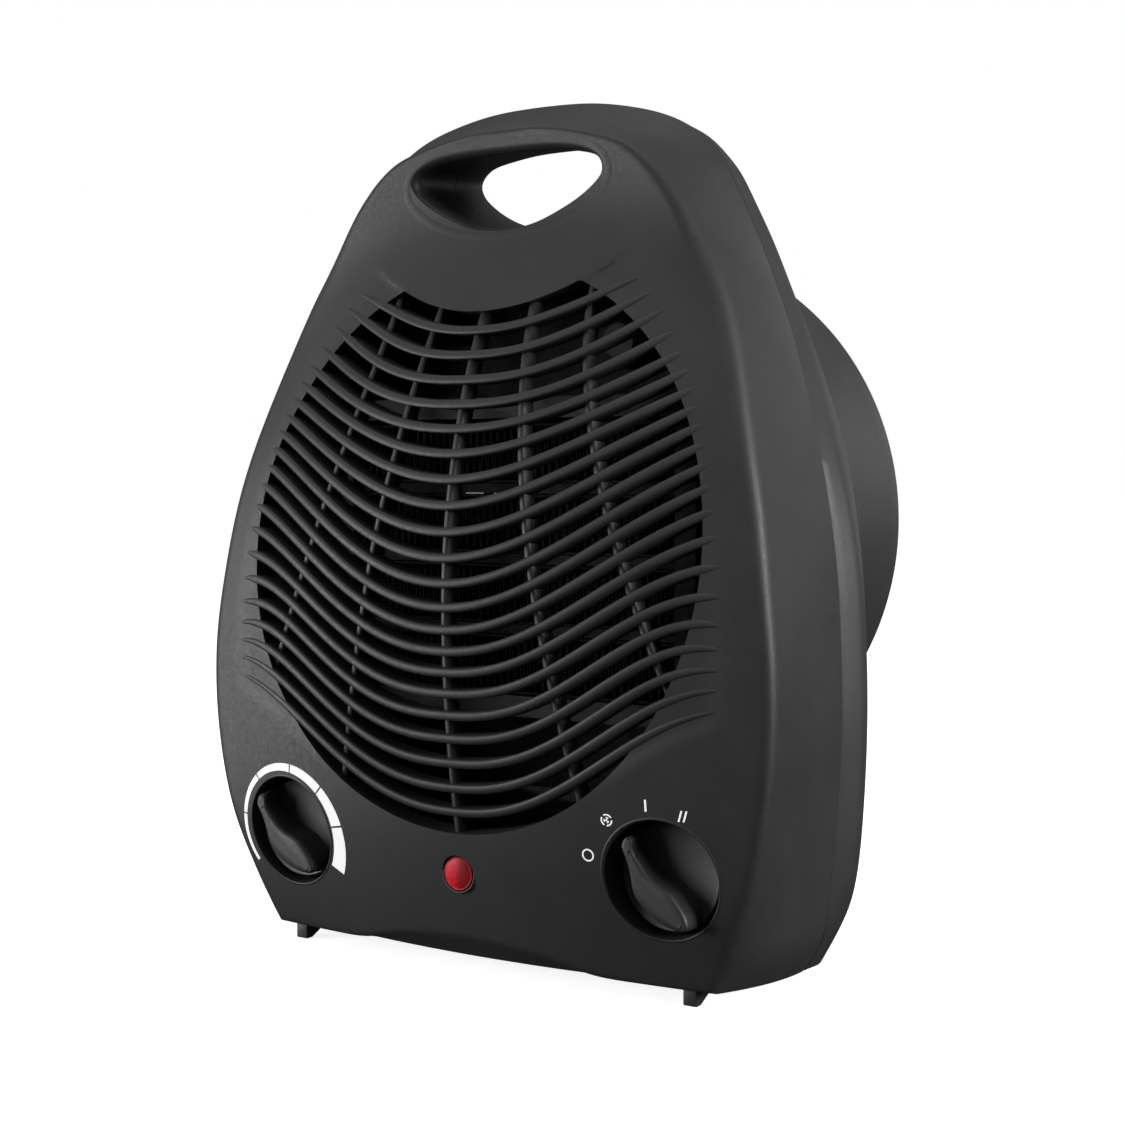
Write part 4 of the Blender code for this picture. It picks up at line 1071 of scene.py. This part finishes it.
def studio_world():
    """White to the camera, and a soft grey sky, darker below, to everything else."""
    world = bpy.data.worlds.new("studio")
    bpy.context.scene.world = world
    world.use_nodes = True
    tree = world.node_tree
    for node in list(tree.nodes):
        tree.nodes.remove(node)
    place = tree.nodes.new("ShaderNodeTexCoord")
    split = tree.nodes.new("ShaderNodeSeparateXYZ")
    tree.links.new(place.outputs["Generated"], split.inputs[0])
    sky = ramp(tree, split.outputs["Z"], [(0.05, (0.08, 0.08, 0.08)), (0.6, (0.42, 0.42, 0.42))])
    soft = tree.nodes.new("ShaderNodeBackground")
    tree.links.new(sky, soft.inputs["Color"])
    soft.inputs["Strength"].default_value = 0.6
    white = tree.nodes.new("ShaderNodeBackground")
    white.inputs["Color"].default_value = (1, 1, 1, 1)
    path = tree.nodes.new("ShaderNodeLightPath")
    mix = tree.nodes.new("ShaderNodeMixShader")
    tree.links.new(path.outputs["Is Camera Ray"], mix.inputs[0])
    tree.links.new(soft.outputs[0], mix.inputs[1])
    tree.links.new(white.outputs[0], mix.inputs[2])
    out = tree.nodes.new("ShaderNodeOutputWorld")
    tree.links.new(mix.outputs[0], out.inputs["Surface"])


def studio_camera():
    camera = bpy.data.objects.new("camera", bpy.data.cameras.new("camera"))
    camera.data.lens = CAMERA_LENS
    camera.data.sensor_width = 36
    camera.location = CAMERA_PLACE
    camera.rotation_euler = (math.radians(90 - CAMERA_ELEVATION), 0, math.radians(CAMERA_AZIMUTH))
    camera.data.clip_start = 0.01
    bpy.context.scene.collection.objects.link(camera)
    bpy.context.scene.camera = camera
    bpy.context.scene.view_settings.view_transform = "Standard"


# ---------------------------------------------------------------- build

paint_nodes()
front_casing()
outlet_bars()
lip_tails()
outlet_ribs()
knob_well("well_right", KNOB_X)
knob_well("well_left", -KNOB_X)
handle_front_liner()
rear_casing()
handle_rear_liner()
for side, word in ((-1, "left"), (1, "right")):
    foot_fin(f"front_toe_{word}", side * 67, 2.1, TOE, 0.35)
    foot_fin(f"rear_heel_{word}", side * 58, 2.5, HEEL, 0.7)
knob("selector_knob_grip", "selector_dial", "selector_knob", KNOB_X, SELECTOR_REST)
knob("thermostat_knob_grip", "thermostat_dial", "thermostat_knob", -KNOB_X, THERMOSTAT_REST)
indicator()
thermostat_scale()
selector_marks()
heater_fins()
pale_floor()
softbox("left_softbox", (-0.98, -0.86, 0.07), (0, 0, 0.09), (0.7, 0.9), 20)
softbox("right_softbox", (1.4, 0.02, 0.52), (0, 0, 0.14), (0.55, 0.55), 20)
softbox("top_softbox", (-0.1, -0.2, 1.5), (0, 0, 0.15), (1.2, 1.2), 4.5)
softbox("back_softbox", (0.35, 1.4, 0.35), (0, 0, 0.2), (0.5, 0.4), 0.8)
studio_world()
studio_camera()
